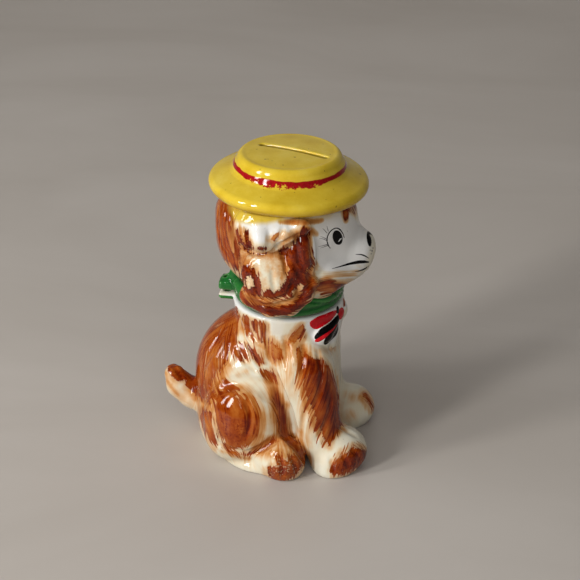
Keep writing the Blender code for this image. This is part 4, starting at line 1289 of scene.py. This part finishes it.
# ---- materials -----------------------------------------------------------------------------
class Shader:
    """A small hand for building node trees."""

    def __init__(self, name):
        self.mat = bpy.data.materials.new(name)
        self.mat.use_nodes = True
        self.t = self.mat.node_tree
        self.t.nodes.clear()
        self.out = self.t.nodes.new("ShaderNodeOutputMaterial")
        self.bsdf = self.t.nodes.new("ShaderNodeBsdfPrincipled")
        self.t.links.new(self.bsdf.outputs[0], self.out.inputs[0])

    def put(self, socket, value):
        if isinstance(value, bpy.types.NodeSocket):
            self.t.links.new(value, socket)
        else:
            socket.default_value = value

    def set(self, **kw):
        for k, v in kw.items():
            self.put(self.bsdf.inputs[k.replace("_", " ")], v)

    def attr(self, name, what="Fac"):
        n = self.t.nodes.new("ShaderNodeAttribute")
        n.attribute_name = name
        return n.outputs[what]

    def math(self, op, a, b=None, clamp=False):
        n = self.t.nodes.new("ShaderNodeMath")
        n.operation = op
        n.use_clamp = clamp
        self.put(n.inputs[0], a)
        if b is not None:
            self.put(n.inputs[1], b)
        return n.outputs[0]

    def add(self, a, b, clamp=False):
        return self.math("ADD", a, b, clamp)

    def mul(self, a, b, clamp=False):
        return self.math("MULTIPLY", a, b, clamp)

    def remap(self, v, a0, a1, b0=0.0, b1=1.0, smooth=False):
        n = self.t.nodes.new("ShaderNodeMapRange")
        n.clamp = True
        if smooth:
            n.interpolation_type = "SMOOTHSTEP"
        self.put(n.inputs["Value"], v)
        n.inputs["From Min"].default_value = a0
        n.inputs["From Max"].default_value = a1
        n.inputs["To Min"].default_value = b0
        n.inputs["To Max"].default_value = b1
        return n.outputs[0]

    def mix(self, f, a, b):
        n = self.t.nodes.new("ShaderNodeMix")
        n.data_type = "RGBA"
        self.put(n.inputs[0], f)
        for s, v in ((n.inputs[6], a), (n.inputs[7], b)):
            self.put(s, v if isinstance(v, bpy.types.NodeSocket) else (*v, 1.0))
        return n.outputs[2]

    def blend(self, f, a, b):
        n = self.t.nodes.new("ShaderNodeMix")
        n.data_type = "FLOAT"
        self.put(n.inputs[0], f)
        self.put(n.inputs[2], a)
        self.put(n.inputs[3], b)
        return n.outputs[0]

    def stretch(self, vector, scale, shift=(0, 0, 0)):
        n = self.t.nodes.new("ShaderNodeMapping")
        self.put(n.inputs["Vector"], vector)
        n.inputs["Location"].default_value = shift
        n.inputs["Scale"].default_value = scale
        return n.outputs[0]

    def noise(self, vector, scale, detail=2.0, rough=0.5, distort=0.0, dims="3D"):
        n = self.t.nodes.new("ShaderNodeTexNoise")
        n.noise_dimensions = dims
        self.put(n.inputs["Vector"], vector)
        n.inputs["Scale"].default_value = scale
        n.inputs["Detail"].default_value = detail
        n.inputs["Roughness"].default_value = rough
        n.inputs["Distortion"].default_value = distort
        return n.outputs["Fac"]

    def ramp(self, f, stops):
        n = self.t.nodes.new("ShaderNodeValToRGB")
        self.put(n.inputs[0], f)
        e = n.color_ramp.elements
        while len(e) < len(stops):
            e.new(0.5)
        for x, (p, c) in zip(e, sorted(stops)):
            x.position = p
            x.color = (*c, 1.0)
        return n.outputs[0]

    def bump(self, height, strength, distance):
        n = self.t.nodes.new("ShaderNodeBump")
        n.inputs["Strength"].default_value = strength
        n.inputs["Distance"].default_value = distance
        self.put(n.inputs["Height"], height)
        return n.outputs[0]

    def place(self):
        n = self.t.nodes.new("ShaderNodeTexCoord")
        return n.outputs["Object"]


def coat_material(name, whiteness=(0.80, 0.79, 0.765)):
    s = Shader(name)
    lie, lie2 = s.attr("lie", "Vector"), s.attr("lie2", "Vector")
    sep = s.t.nodes.new("ShaderNodeSeparateXYZ")
    s.put(sep.inputs[0], lie)
    facing = sep.outputs[2]

    def strands(across, along_, detail=3.0, distort=0.15):
        a = s.noise(s.stretch(lie, (across, along_, 0.0)), 1.0, detail, 0.55, distort, "2D")
        b = s.noise(s.stretch(lie2, (across, along_, 0.0)), 1.0, detail, 0.55, distort, "2D")
        return s.remap(s.blend(facing, a, b), 0.28, 0.72, -1.0, 1.0)

    broad = strands(0.30, 0.040, 2.0, 0.3)
    mid = strands(0.80, 0.050, 2.0, 0.25)
    fine = strands(2.0, 0.070, 2.0, 0.15)
    tips = s.remap(strands(1.9, 0.060, 1.0, 0.1), -0.05, 0.70)
    hairy, crease = s.attr("hair"), s.attr("crease")
    comb = s.attr("comb")
    place = s.place()
    # dabbed on rather than combed, in places
    blot = s.attr("blot")
    dabs = s.remap(s.noise(place, 900.0, 2.0), 0.32, 0.68, -1.0, 1.0)
    mid = s.blend(blot, mid, s.remap(s.noise(place, 330.0, 3.0, 0.6), 0.32, 0.68, -1.0, 1.0))
    fine = s.blend(blot, fine, dabs)
    cloud = s.noise(place, 90.0, 3.0)
    patchy = s.remap(s.noise(place, 48.0, 4.0, 0.6), 0.30, 0.70, -1.0, 1.0)
    # sienna brushed on, ragged along the lie of the hair
    ragged = s.add(s.add(s.mul(mid, 1.3), s.add(s.mul(fine, 1.3), s.mul(broad, 0.8))), s.mul(s.attr("teeth"), s.remap(tips, 0.0, 1.0, -2.6, 8.5)))
    edge = s.add(s.attr("brown"), s.mul(ragged, hairy))
    cover = s.remap(edge, -0.6, 0.8, smooth=True)
    gap = s.remap(s.add(s.add(s.mul(mid, 0.55), s.mul(fine, 0.60)), s.mul(comb, 0.72)), 0.76, 1.10, 0.0, 0.66, smooth=True)
    cover = s.mul(cover, s.math("SUBTRACT", 1.0, gap))
    # the ochre wash over cream, pooled around the sienna; deeper in the creases and paler on ridges, partly glaze
    # pooling and partly painted shade
    wash = s.attr("wash")
    swing = s.ramp(wash, [(0.0, (0.02,) * 3), (0.10, (0.10,) * 3), (0.35, (0.24,) * 3), (0.7, (0.20,) * 3)])
    w = s.add(wash, s.mul(s.add(s.mul(broad, 0.5), s.add(s.mul(mid, 0.45), s.mul(fine, 0.3))), swing))
    w = s.add(w, s.mul(s.remap(crease, -1.2, 1.6, -0.16, 0.30), hairy))
    halo = s.remap(s.add(s.attr("brown"), s.add(s.mul(patchy, 2.2), s.mul(mid, 1.6))), -6.0, -0.4, 0.0, 0.28, smooth=True)
    grey = s.remap(patchy, -1.0, -0.1, 1.0, 0.0)
    w = s.add(w, s.mul(s.add(halo, s.remap(patchy, 0.0, 1.0, 0.0, 0.15)), hairy), True)
    under = s.ramp(w, [(0.0, (0.76, 0.72, 0.60)), (0.14, (0.74, 0.66, 0.49)), (0.32, (0.68, 0.47, 0.275)), (0.52, (0.57, 0.275, 0.095)), (0.78, (0.44, 0.15, 0.030)), (1.0, (0.33, 0.085, 0.012))])
    under = s.mix(s.mul(grey, s.remap(w, 0.05, 0.35, 0.55, 0.0)), under, (0.60, 0.60, 0.50))
    mottle = s.remap(s.noise(place, 150.0, 3.0, 0.6), 0.3, 0.7, -0.14, 0.14)
    rim = s.remap(edge, 0.4, 2.6, 0.16, 0.0)
    dark = s.mul(s.remap(s.blend(blot, strands(1.7, 0.06, 1.0, 0.1), dabs), 0.15, 0.8, 0.0, 0.36), s.remap(patchy, -0.8, 0.5, 0.3, 1.0))
    tone = s.add(s.attr("deep"), s.add(s.mul(mid, 0.10), s.add(s.mul(broad, 0.10), s.add(s.mul(fine, 0.09), s.add(mottle, s.add(rim, dark))))))
    # the sienna darker in creases and paler on ridges: partly glaze pooling, partly painted shade
    tone = s.add(tone, s.remap(crease, -1.0, 1.4, -0.14, 0.22))
    tone = s.add(tone, -0.06, True)
    sienna = s.ramp(tone, [(0.0, (0.50, 0.19, 0.042)), (0.25, (0.41, 0.110, 0.015)), (0.50, (0.29, 0.046, 0.0030)), (0.75, (0.170, 0.0150, 0.0012)), (1.0, (0.082, 0.0050, 0.0006))])
    colour = s.mix(cover, under, sienna)
    white = s.mul(s.mul(s.attr("white"), s.remap(w, 0.12, 0.30, 1.0, 0.0)), s.math("SUBTRACT", 1.0, cover))
    colour = s.mix(white, colour, whiteness)
    # yellow glaze that ran from the hat
    run = s.mul(s.attr("bleed"), s.remap(s.add(s.mul(cloud, 0.6), s.mul(mid, 0.04)), 0.04, 0.24))
    colour = s.mix(run, colour, (0.64, 0.45, 0.05))
    # green of the neckerchief, thin and paler on the edges, darker in the folds: partly the glaze itself, partly
    # painted shade in the folds
    green_noise = s.noise(s.stretch(place, (60.0, 60.0, 260.0)), 1.0, 2.0)
    g = s.ramp(
        s.add(s.mul(green_noise, 0.5), s.remap(crease, -1.4, 1.2, 0.48, -0.10), True),
        [(0.15, (0.006, 0.050, 0.010)), (0.42, (0.012, 0.125, 0.022)), (0.66, (0.050, 0.22, 0.045)), (0.9, (0.30, 0.44, 0.20))],
    )
    colour = s.mix(s.remap(s.attr("green"), 0.35, 0.65), colour, g)
    # specks burnt through the glaze
    speck = s.noise(place, 900.0, 1.0)
    colour = s.mix(s.remap(speck, 0.79, 0.84, 0.0, 0.55), colour, (0.16, 0.075, 0.03))
    bare = s.attr("bare")
    colour = s.mix(bare, colour, (0.66, 0.57, 0.44))
    wave = s.noise(place, 260.0, 2.0)
    rough = s.remap(wave, 0.3, 0.7, 0.02, 0.05)
    rough = s.blend(bare, rough, 0.85)
    height = s.add(s.mul(mid, 0.35), s.add(s.mul(fine, 0.10), s.mul(wave, 0.8)))
    s.set(Base_Color=colour, Roughness=rough, IOR=1.37, Normal=s.bump(s.mul(height, s.remap(hairy, 0, 1, 0.35, 1.0)), 0.13, 0.0003))
    return s.mat


def hat_material(name):
    s = Shader(name)
    h = s.attr("hat", "Vector")
    sep = s.t.nodes.new("ShaderNodeSeparateXYZ")
    s.put(sep.inputs[0], h)
    z = sep.outputs[2]
    r = s.math("SQRT", s.add(s.math("POWER", sep.outputs[0], 2.0), s.math("POWER", sep.outputs[1], 2.0)))
    crease = s.attr("crease")
    cloud = s.noise(h, 0.09, 4.0)
    fine = s.noise(h, 0.9, 3.0)
    # darker in creases: partly glaze pooling, partly painted shade
    tone = s.add(s.add(s.mul(cloud, 0.75), s.mul(fine, 0.16)), s.mul(crease, 0.10))
    # darker towards the underside of the brim's edge: painted shade under the brim
    tone = s.add(tone, s.mul(s.remap(z, -2.6, 1.6, 0.42, 0.0), s.remap(r, 33.0, 37.0)), True)
    colour = s.ramp(tone, [(0.20, (0.78, 0.595, 0.090)), (0.42, (0.72, 0.51, 0.040)), (0.66, (0.62, 0.41, 0.018)), (0.92, (0.40, 0.225, 0.007))])
    # the band: top and lower edges waver, the lower one chipped
    edge = s.noise(h, 0.32, 4.0, 0.65)
    low = s.add(z, s.remap(edge, 0.3, 0.7, -0.7, 0.7))
    top = s.add(z, s.remap(s.noise(h, 0.22, 2.0), 0.3, 0.7, -0.22, 0.22))
    front = s.remap(sep.outputs[1], -24.0, -17.0, 1.0, 0.0, smooth=True)
    low = s.add(s.blend(front, s.add(z, -0.95), low), s.mul(front, 0.1))
    band = s.mul(s.remap(low, 7.35, 7.6), s.remap(top, 10.35, 10.6, 1.0, 0.0))
    band = s.mul(band, s.remap(r, 25.2, 25.8))
    chip = s.remap(s.add(s.noise(h, 0.42, 4.0, 0.65), s.remap(z, 7.4, 10.2, 0.10, -0.14)), 0.60, 0.625, 1.0, 0.0)
    band = s.mul(band, chip)
    red = s.ramp(fine, [(0.3, (0.42, 0.008, 0.012)), (0.7, (0.26, 0.004, 0.006))])
    colour = s.mix(band, colour, red)
    # specks in the glaze, and the slot's walls darkened: painted shade inside the slot
    place = s.place()
    speck = s.noise(place, 430.0, 1.0)
    colour = s.mix(s.remap(speck, 0.755, 0.785, 0.0, 0.75), colour, (0.13, 0.07, 0.012))
    colour = s.mix(s.mul(s.attr("slot"), 0.92), colour, (0.10, 0.055, 0.008))
    bare = s.attr("bare")
    colour = s.mix(bare, colour, (0.30, 0.20, 0.10))
    wave = s.noise(place, 150.0, 2.0)
    s.set(Base_Color=colour, Roughness=s.blend(bare, s.remap(wave, 0.3, 0.7, 0.05, 0.09), 0.85), IOR=1.45, Normal=s.bump(wave, 0.12, 0.0005))
    return s.mat


def enamel(name, colour, worn=None, rough=0.16, ior=1.45):
    s = Shader(name)
    n = s.noise(s.place(), 700.0, 3.0)
    c = s.mix(s.remap(n, 0.35, 0.7), colour, worn or tuple(min(1.0, v * 1.6 + 0.01) for v in colour))
    s.set(Base_Color=c, Roughness=s.remap(n, 0.3, 0.7, rough * 0.8, rough * 1.3), IOR=ior)
    return s.mat


body_ob.data.materials.clear()
body_ob.data.materials.append(coat_material("body_coat"))
head_ob.data.materials.clear()
head_ob.data.materials.append(coat_material("head_coat"))
hat_ob.data.materials.clear()
hat_ob.data.materials.append(hat_material("hat_yellow"))


# ---- enamel over the glaze -----------------------------------------------------------------
def tree_of(ob):
    me = ob.data
    co = local_mm(ob)
    return BVHTree.FromPolygons([tuple(v) for v in co], [tuple(p.vertices) for p in me.polygons])


trees = {"head": tree_of(head_ob), "body": tree_of(body_ob)}


def smooth_line(pts, n=6, closed=False):
    """Catmull-Rom through points of any width."""
    P = np.array(pts, float)
    m = len(P)
    out = []
    last = m if closed else m - 1
    for i in range(last):
        p0 = P[(i - 1) % m] if closed else P[max(i - 1, 0)]
        p1, p2 = P[i], P[(i + 1) % m]
        p3 = P[(i + 2) % m] if closed else P[min(i + 2, m - 1)]
        for j in range(n):
            t = j / n
            out.append(
                0.5 * ((2 * p1) + (-p0 + p2) * t + (2 * p0 - 5 * p1 + 4 * p2 - p3) * t * t + (-p0 + 3 * p1 - 3 * p2 + p3) * t**3)
            )
    if not closed:
        out.append(P[-1])
    return np.array(out)


def ribbon(pts, seed=0):
    """The outline of a brush line given as (u, v, width)."""
    c = smooth_line(pts, 5)
    d = np.gradient(c[:, :2], axis=0)
    d /= np.linalg.norm(d, axis=1)[:, None] + 1e-9
    nrm = np.stack([-d[:, 1], d[:, 0]], 1)
    w = np.maximum(c[:, 2:3], 0.25) / 2
    a, b = c[:, :2] + nrm * w, c[:, :2] - nrm * w
    return np.concatenate([a, b[::-1]])


def disc(u, v, ru, rv, tilt=0.0, n=28):
    t = np.linspace(0, 2 * math.pi, n, endpoint=False)
    x, y = ru * np.cos(t), rv * np.sin(t)
    c, s = math.cos(math.radians(tilt)), math.sin(math.radians(tilt))
    return np.stack([u + x * c - y * s, v + x * s + y * c], 1)


def shape(pts):
    return smooth_line(pts, 4, closed=True)


from mathutils.geometry import delaunay_2d_cdt


def inside(poly, x, y):
    r = np.zeros(x.shape, bool)
    n = len(poly)
    for i in range(n):
        (ax, ay), (bx, by) = poly[i], poly[(i + 1) % n]
        if ay != by:
            r ^= ((ay > y) != (by > y)) & (x < ax + (y - ay) * (bx - ax) / (by - ay))
    return r


def edge_distance(poly, x, y):
    best = np.full(x.shape, 1e9)
    n = len(poly)
    for i in range(n):
        a, b = poly[i], poly[(i + 1) % n]
        d = b - a
        t = np.clip(((x - a[0]) * d[0] + (y - a[1]) * d[1]) / (d @ d + 1e-12), 0, 1)
        best = np.minimum(best, np.hypot(x - a[0] - t * d[0], y - a[1] - t * d[1]))
    return best


def film(outlines, tree, height=0.09, spacing=0.8, sides=(-1, 1), lift=0.02, ray=None):
    """Raised closed patches over a casting, from outlines on the paint plan."""
    V, Fc, flat = [], [], []
    for poly in outlines:
        gx, gy = np.meshgrid(
            np.arange(poly[:, 0].min(), poly[:, 0].max() + spacing, spacing),
            np.arange(poly[:, 1].min(), poly[:, 1].max() + spacing, spacing),
        )
        gx, gy = gx.ravel(), gy.ravel()
        ok = inside(poly, gx, gy)
        gx, gy = gx[ok], gy[ok]
        if len(gx):
            far = edge_distance(poly, gx, gy) > spacing * 0.45
            gx, gy = gx[far], gy[far]
        n = len(poly)
        pts2 = [Vector(q) for q in poly] + [Vector(q) for q in zip(gx, gy)]
        vs, _, fs, _, _, _ = delaunay_2d_cdt(pts2, [(i, (i + 1) % n) for i in range(n)], [], 1, 1e-5)
        vs = np.array([tuple(v) for v in vs])
        depth = edge_distance(poly, vs[:, 0], vs[:, 1])
        for s in sides:
            top, low, missed = [], [], set()
            for (u, v), dd in zip(vs, depth):
                o, d = (ray or plan_ray)(u, v)
                o, d = np.array(o), np.array(d)
                if s > 0:
                    o, d = o * (1, -1, 1), d * (1, -1, 1)
                hit, nor, _, _ = tree.ray_cast(Vector(o), Vector(d))
                if hit is None:
                    missed.add(len(top))
                    top.append(np.zeros(3))
                    low.append(np.zeros(3))
                    continue
                h = lift + height * (1 - math.exp(-dd / 0.9))
                top.append(np.array(hit) + np.array(nor) * h)
                low.append(np.array(hit) - np.array(nor) * 0.12)
            kept = [f for f in fs if not missed.intersection(f)]
            if not kept:
                continue
            base = len(V)
            V.extend(top)
            V.extend(low)
            m = len(top)
            P3 = np.array(top)
            a, b, c = kept[0][0], kept[0][1], kept[0][2]
            fn = np.cross(P3[b] - P3[a], P3[c] - P3[a])
            o, d = (ray or plan_ray)(*vs[a])
            if s > 0:
                d = np.array(d) * (1, -1, 1)
            flip = fn @ d > 0
            edges = {}
            for f in kept:
                f = list(f)
                if flip:
                    f = f[::-1]
                Fc.append([base + i for i in f])
                Fc.append([base + m + i for i in f[::-1]])
                flat.append(len(Fc) - 1)
                for i in range(len(f)):
                    edges[(f[i], f[(i + 1) % len(f)])] = 1
            for i, j in edges:
                if (j, i) not in edges:
                    Fc.append([base + j, base + i, base + m + i])
                    Fc.append([base + j, base + m + i, base + m + j])
                    flat += [len(Fc) - 2, len(Fc) - 1]
    return np.array(V), Fc, flat


def film_object(name, mat, body_name, made):
    V, Fc, flat = made
    me = bpy.data.meshes.new(name)
    me.from_pydata([tuple(v) for v in to_world(V)], [], Fc)
    me.update()
    me.shade_smooth()
    for i in flat:
        me.polygons[i].use_smooth = False
    bm = bmesh.new()
    bm.from_mesh(me)
    bmesh.ops.delete(bm, geom=[v for v in bm.verts if not v.link_faces], context="VERTS")
    bm.to_mesh(me)
    bm.free()
    ob = bpy.data.objects.new(name, me)
    scene_coll.objects.link(ob)
    me.materials.append(mat)
    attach(ob, body_name)
    return ob


black = enamel("enamel_black", (0.002, 0.0018, 0.002), (0.006, 0.0055, 0.0055), 0.06, 1.2)
grey = enamel("enamel_grey", (0.16, 0.15, 0.15), (0.30, 0.29, 0.28), 0.2)
# white for the eye's painted highlights
glint_white = enamel("painted_glint", (0.80, 0.80, 0.78), (0.72, 0.72, 0.70), 0.15)
red = enamel("enamel_red", (0.50, 0.003, 0.008), (0.62, 0.008, 0.016), 0.07, 1.3)
taupe = enamel("enamel_taupe", (0.30, 0.25, 0.21), (0.45, 0.40, 0.35), 0.2)

face_black = [
    disc(337.6, 237.6, 4.9, 7.4, -14),
    ribbon([(330.4, 248.4, 0.7), (328.2, 245.2, 1.0), (327.0, 240, 1.1), (328.1, 235, 1.1), (331, 230.8, 1.0), (335.5, 228.2, 1.0), (339.5, 229.2, 1.3), (343.0, 233.8, 0.9), (344.4, 238.2, 0.6)]),
    ribbon([(332.0, 268.7, 0.4), (340.5, 266.4, 1.2), (349.3, 263.9, 2.3), (358, 262.2, 3.2), (364.0, 261.8, 3.0), (369.0, 262.2, 1.2)]),
    ribbon([(355.0, 271.6, 0.4), (360.5, 270.5, 1.2), (365.0, 268.7, 1.5), (368.8, 265.9, 0.7)]),
    ribbon([(355.6, 254.4, 0.4), (361.1, 254.6, 1.2), (364.9, 255.9, 1.4), (368.8, 258.3, 0.6)]),
    shape([(367.3, 232.3), (369.5, 234.5), (371.3, 239), (371.6, 243), (370.6, 246.3), (368.6, 245.5), (367, 241), (366.6, 236)]),
]
face_grey = [
    ribbon([(328.4, 231.4, 0.8), (327.4, 228.4, 0.6), (326.8, 225.8, 0.3)]),
    ribbon([(327.2, 233.2, 0.8), (324.8, 230.6, 0.6), (322.6, 228.2, 0.3)]),
    ribbon([(326.6, 239.2, 0.8), (323.6, 237.6, 0.6), (320.6, 236.4, 0.3)]),
    ribbon([(326.6, 240.6, 0.8), (323.2, 239.0, 0.6), (319.0, 238.2, 0.3)]),
    ribbon([(327.2, 244.4, 0.9), (323.2, 245.6, 0.6), (318.4, 246.6, 0.3)]),
    ribbon([(328.0, 245.4, 0.9), (324.2, 246.8, 0.6), (320.2, 248.2, 0.3)]),
    disc(372.0, 250.8, 0.7, 0.9), disc(371.2, 253.8, 0.6, 0.6), disc(370.2, 250.2, 0.5, 0.5), disc(373.0, 248.0, 0.5, 0.7),
]
film_object("face_lines", black, "head", film(face_black, trees["head"]))
film_object("lashes", grey, "head", film(face_grey, trees["head"], height=0.05, lift=0.015))
# painted highlights: a glint in the pupil and a dot beside the eye
film_object("eye_glint", glint_white, "head", film([ribbon([(338.4, 241.6, 0.5), (340.2, 239.4, 1.2), (341.6, 238.0, 0.5)]), disc(346.9, 231.4, 0.7, 0.7)], trees["head"], height=0.08, lift=0.13))

bow_red = [
    shape([(310, 322), (313, 319.5), (318, 316.5), (325, 314), (331, 311.5), (336, 310), (337, 312), (334, 317), (330, 321.5), (325, 325), (320, 328), (315, 329.3), (311, 327), (309.8, 324.5)]),
    shape([(338.4, 319), (338, 325), (334, 330.5), (329, 335), (325, 338.5), (320, 341.5), (316, 342.2), (314.8, 340.6), (317, 337.6), (322, 334), (328, 330), (333, 325.5)]),
    disc(341, 313.5, 3.1, 6.3, 10),
]
bow_black = [
    shape([(338.4, 314.5), (339.2, 320), (334.8, 327), (328.8, 331.8), (322.6, 335.6), (317.6, 338.8), (315, 339), (314.6, 336.3), (317.4, 332.4), (321.4, 328), (327.4, 324.4), (332.4, 320), (335.8, 316.5)]),
    shape([(337.5, 306), (339, 308), (338.8, 313), (336.8, 313), (336.3, 308)]),
    shape([(337.2, 322), (338.4, 328), (336.2, 335), (331.2, 340), (327, 344), (324.4, 344.6), (323.8, 342), (325.4, 338.2), (329.4, 334), (333.4, 330), (336, 325)]),
]
film_object("bow_red", red, "body", film(bow_red, trees["body"]))
film_object("bow_black", black, "body", film(bow_black, trees["body"], lift=0.07))

for ob, bname, nodes, sl in (
    (body_ob, "body", ("body_shell", "right_foreleg", "left_foreleg", "right_hind_foot", "left_hind_foot", "tail", "chest_bow", "body_hasp_lug"), "body_glaze"),
    (head_ob, "head", ("head_shell", "right_ear", "left_ear", "neckerchief", "head_hasp_lug"), "face_glaze"),
    (hat_ob, "head", ("hat",), "hat_glaze"),
):
    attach(ob, bname)
    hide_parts(*nodes)


# ---- floor, light and camera ---------------------------------------------------------------
def floor():
    s = Shader("floor")
    p = s.place()
    n = s.noise(s.stretch(p, (3.0, 7.0, 1.0)), 1.0, 5.0, 0.55, 0.6)
    s.set(Base_Color=s.ramp(n, [(0.3, (0.49, 0.445, 0.40)), (0.7, (0.56, 0.515, 0.47))]), Roughness=0.42, IOR=1.45)
    prof = [(-3.0, 0.0), (0.9, 0.0)]
    for i in range(1, 17):
        a = math.pi / 2 * i / 16
        prof.append((0.9 + 0.5 * math.sin(a), 0.5 - 0.5 * math.cos(a)))
    prof.append((1.4, 2.6))
    V, Fc = [], []
    for y, z in prof:
        V += [(-4.0, y, z), (4.0, y, z)]
    for i in range(len(prof) - 1):
        Fc.append((2 * i, 2 * i + 1, 2 * i + 3, 2 * i + 2))
    me = bpy.data.meshes.new("floor")
    me.from_pydata(V, [], Fc)
    me.shade_smooth()
    ob = bpy.data.objects.new("floor", me)
    scene_coll.objects.link(ob)
    me.materials.append(s.mat)
    return ob


floor()
world = bpy.data.worlds.new("studio")
bpy.context.scene.world = world
world.use_nodes = True
bg = world.node_tree.nodes["Background"]
bg.inputs[0].default_value = (0.93, 0.95, 1.0, 1.0)
bg.inputs[1].default_value = 0.05


def area(name, at, aim, sx, sy, power, colour=(1, 1, 1), mirrored=True):
    l = bpy.data.lights.new(name, "AREA")
    l.shape = "RECTANGLE"
    l.size, l.size_y = sx, sy
    l.energy = power
    l.color = colour
    o = bpy.data.objects.new(name, l)
    scene_coll.objects.link(o)
    o.location = at
    o.visible_glossy = mirrored
    o.rotation_euler = (Vector(aim) - Vector(at)).to_track_quat("-Z", "Y").to_euler()
    return o




def around(az, el, far):
    """A place at an azimuth and a height in degrees, seen from the middle of the piece."""
    a, e = math.radians(az), math.radians(el)
    return (far * math.sin(a) * math.cos(e), -far * math.cos(a) * math.cos(e), 0.09 + far * math.sin(e))


MIDDLE = (0, 0, 0.09)
area("window_left", around(-59, 22, 1.4), MIDDLE, 0.19, 0.52, 7.0, (1.0, 0.99, 0.97))
area("window_right", around(-39, 22, 1.4), MIDDLE, 0.19, 0.52, 9.5, (1.0, 0.99, 0.97))
area("sky", around(-50, 55, 1.5), MIDDLE, 1.6, 1.2, 5.0, (0.97, 0.99, 1.0), False)
area("room", around(14, 34, 1.7), MIDDLE, 1.6, 1.2, 8.0, (1.0, 0.985, 0.96), False)
area("behind", around(180, 40, 1.6), MIDDLE, 1.0, 0.8, 2.0, (1.0, 0.99, 0.97), False)

cam = bpy.data.objects.new("camera", bpy.data.cameras.new("camera"))
scene_coll.objects.link(cam)
cam.data.sensor_width = 36.0
cam.data.lens = 36.0 * SCALE / 580.0
aim = Vector(((AIM[0] + NECK_X) * 0.001, AIM[1] * 0.001, AIM[2] * 0.001))
back = Vector(P_BACK)
cam.location = aim + back * (REACH * 0.001)
cam.rotation_euler = (-back).to_track_quat("-Z", "Y").to_euler()
cam.data.clip_start, cam.data.clip_end = 0.02, 20.0
bpy.context.scene.camera = cam
bpy.context.scene.view_settings.view_transform = "Standard"
bpy.context.scene.view_settings.look = "None"
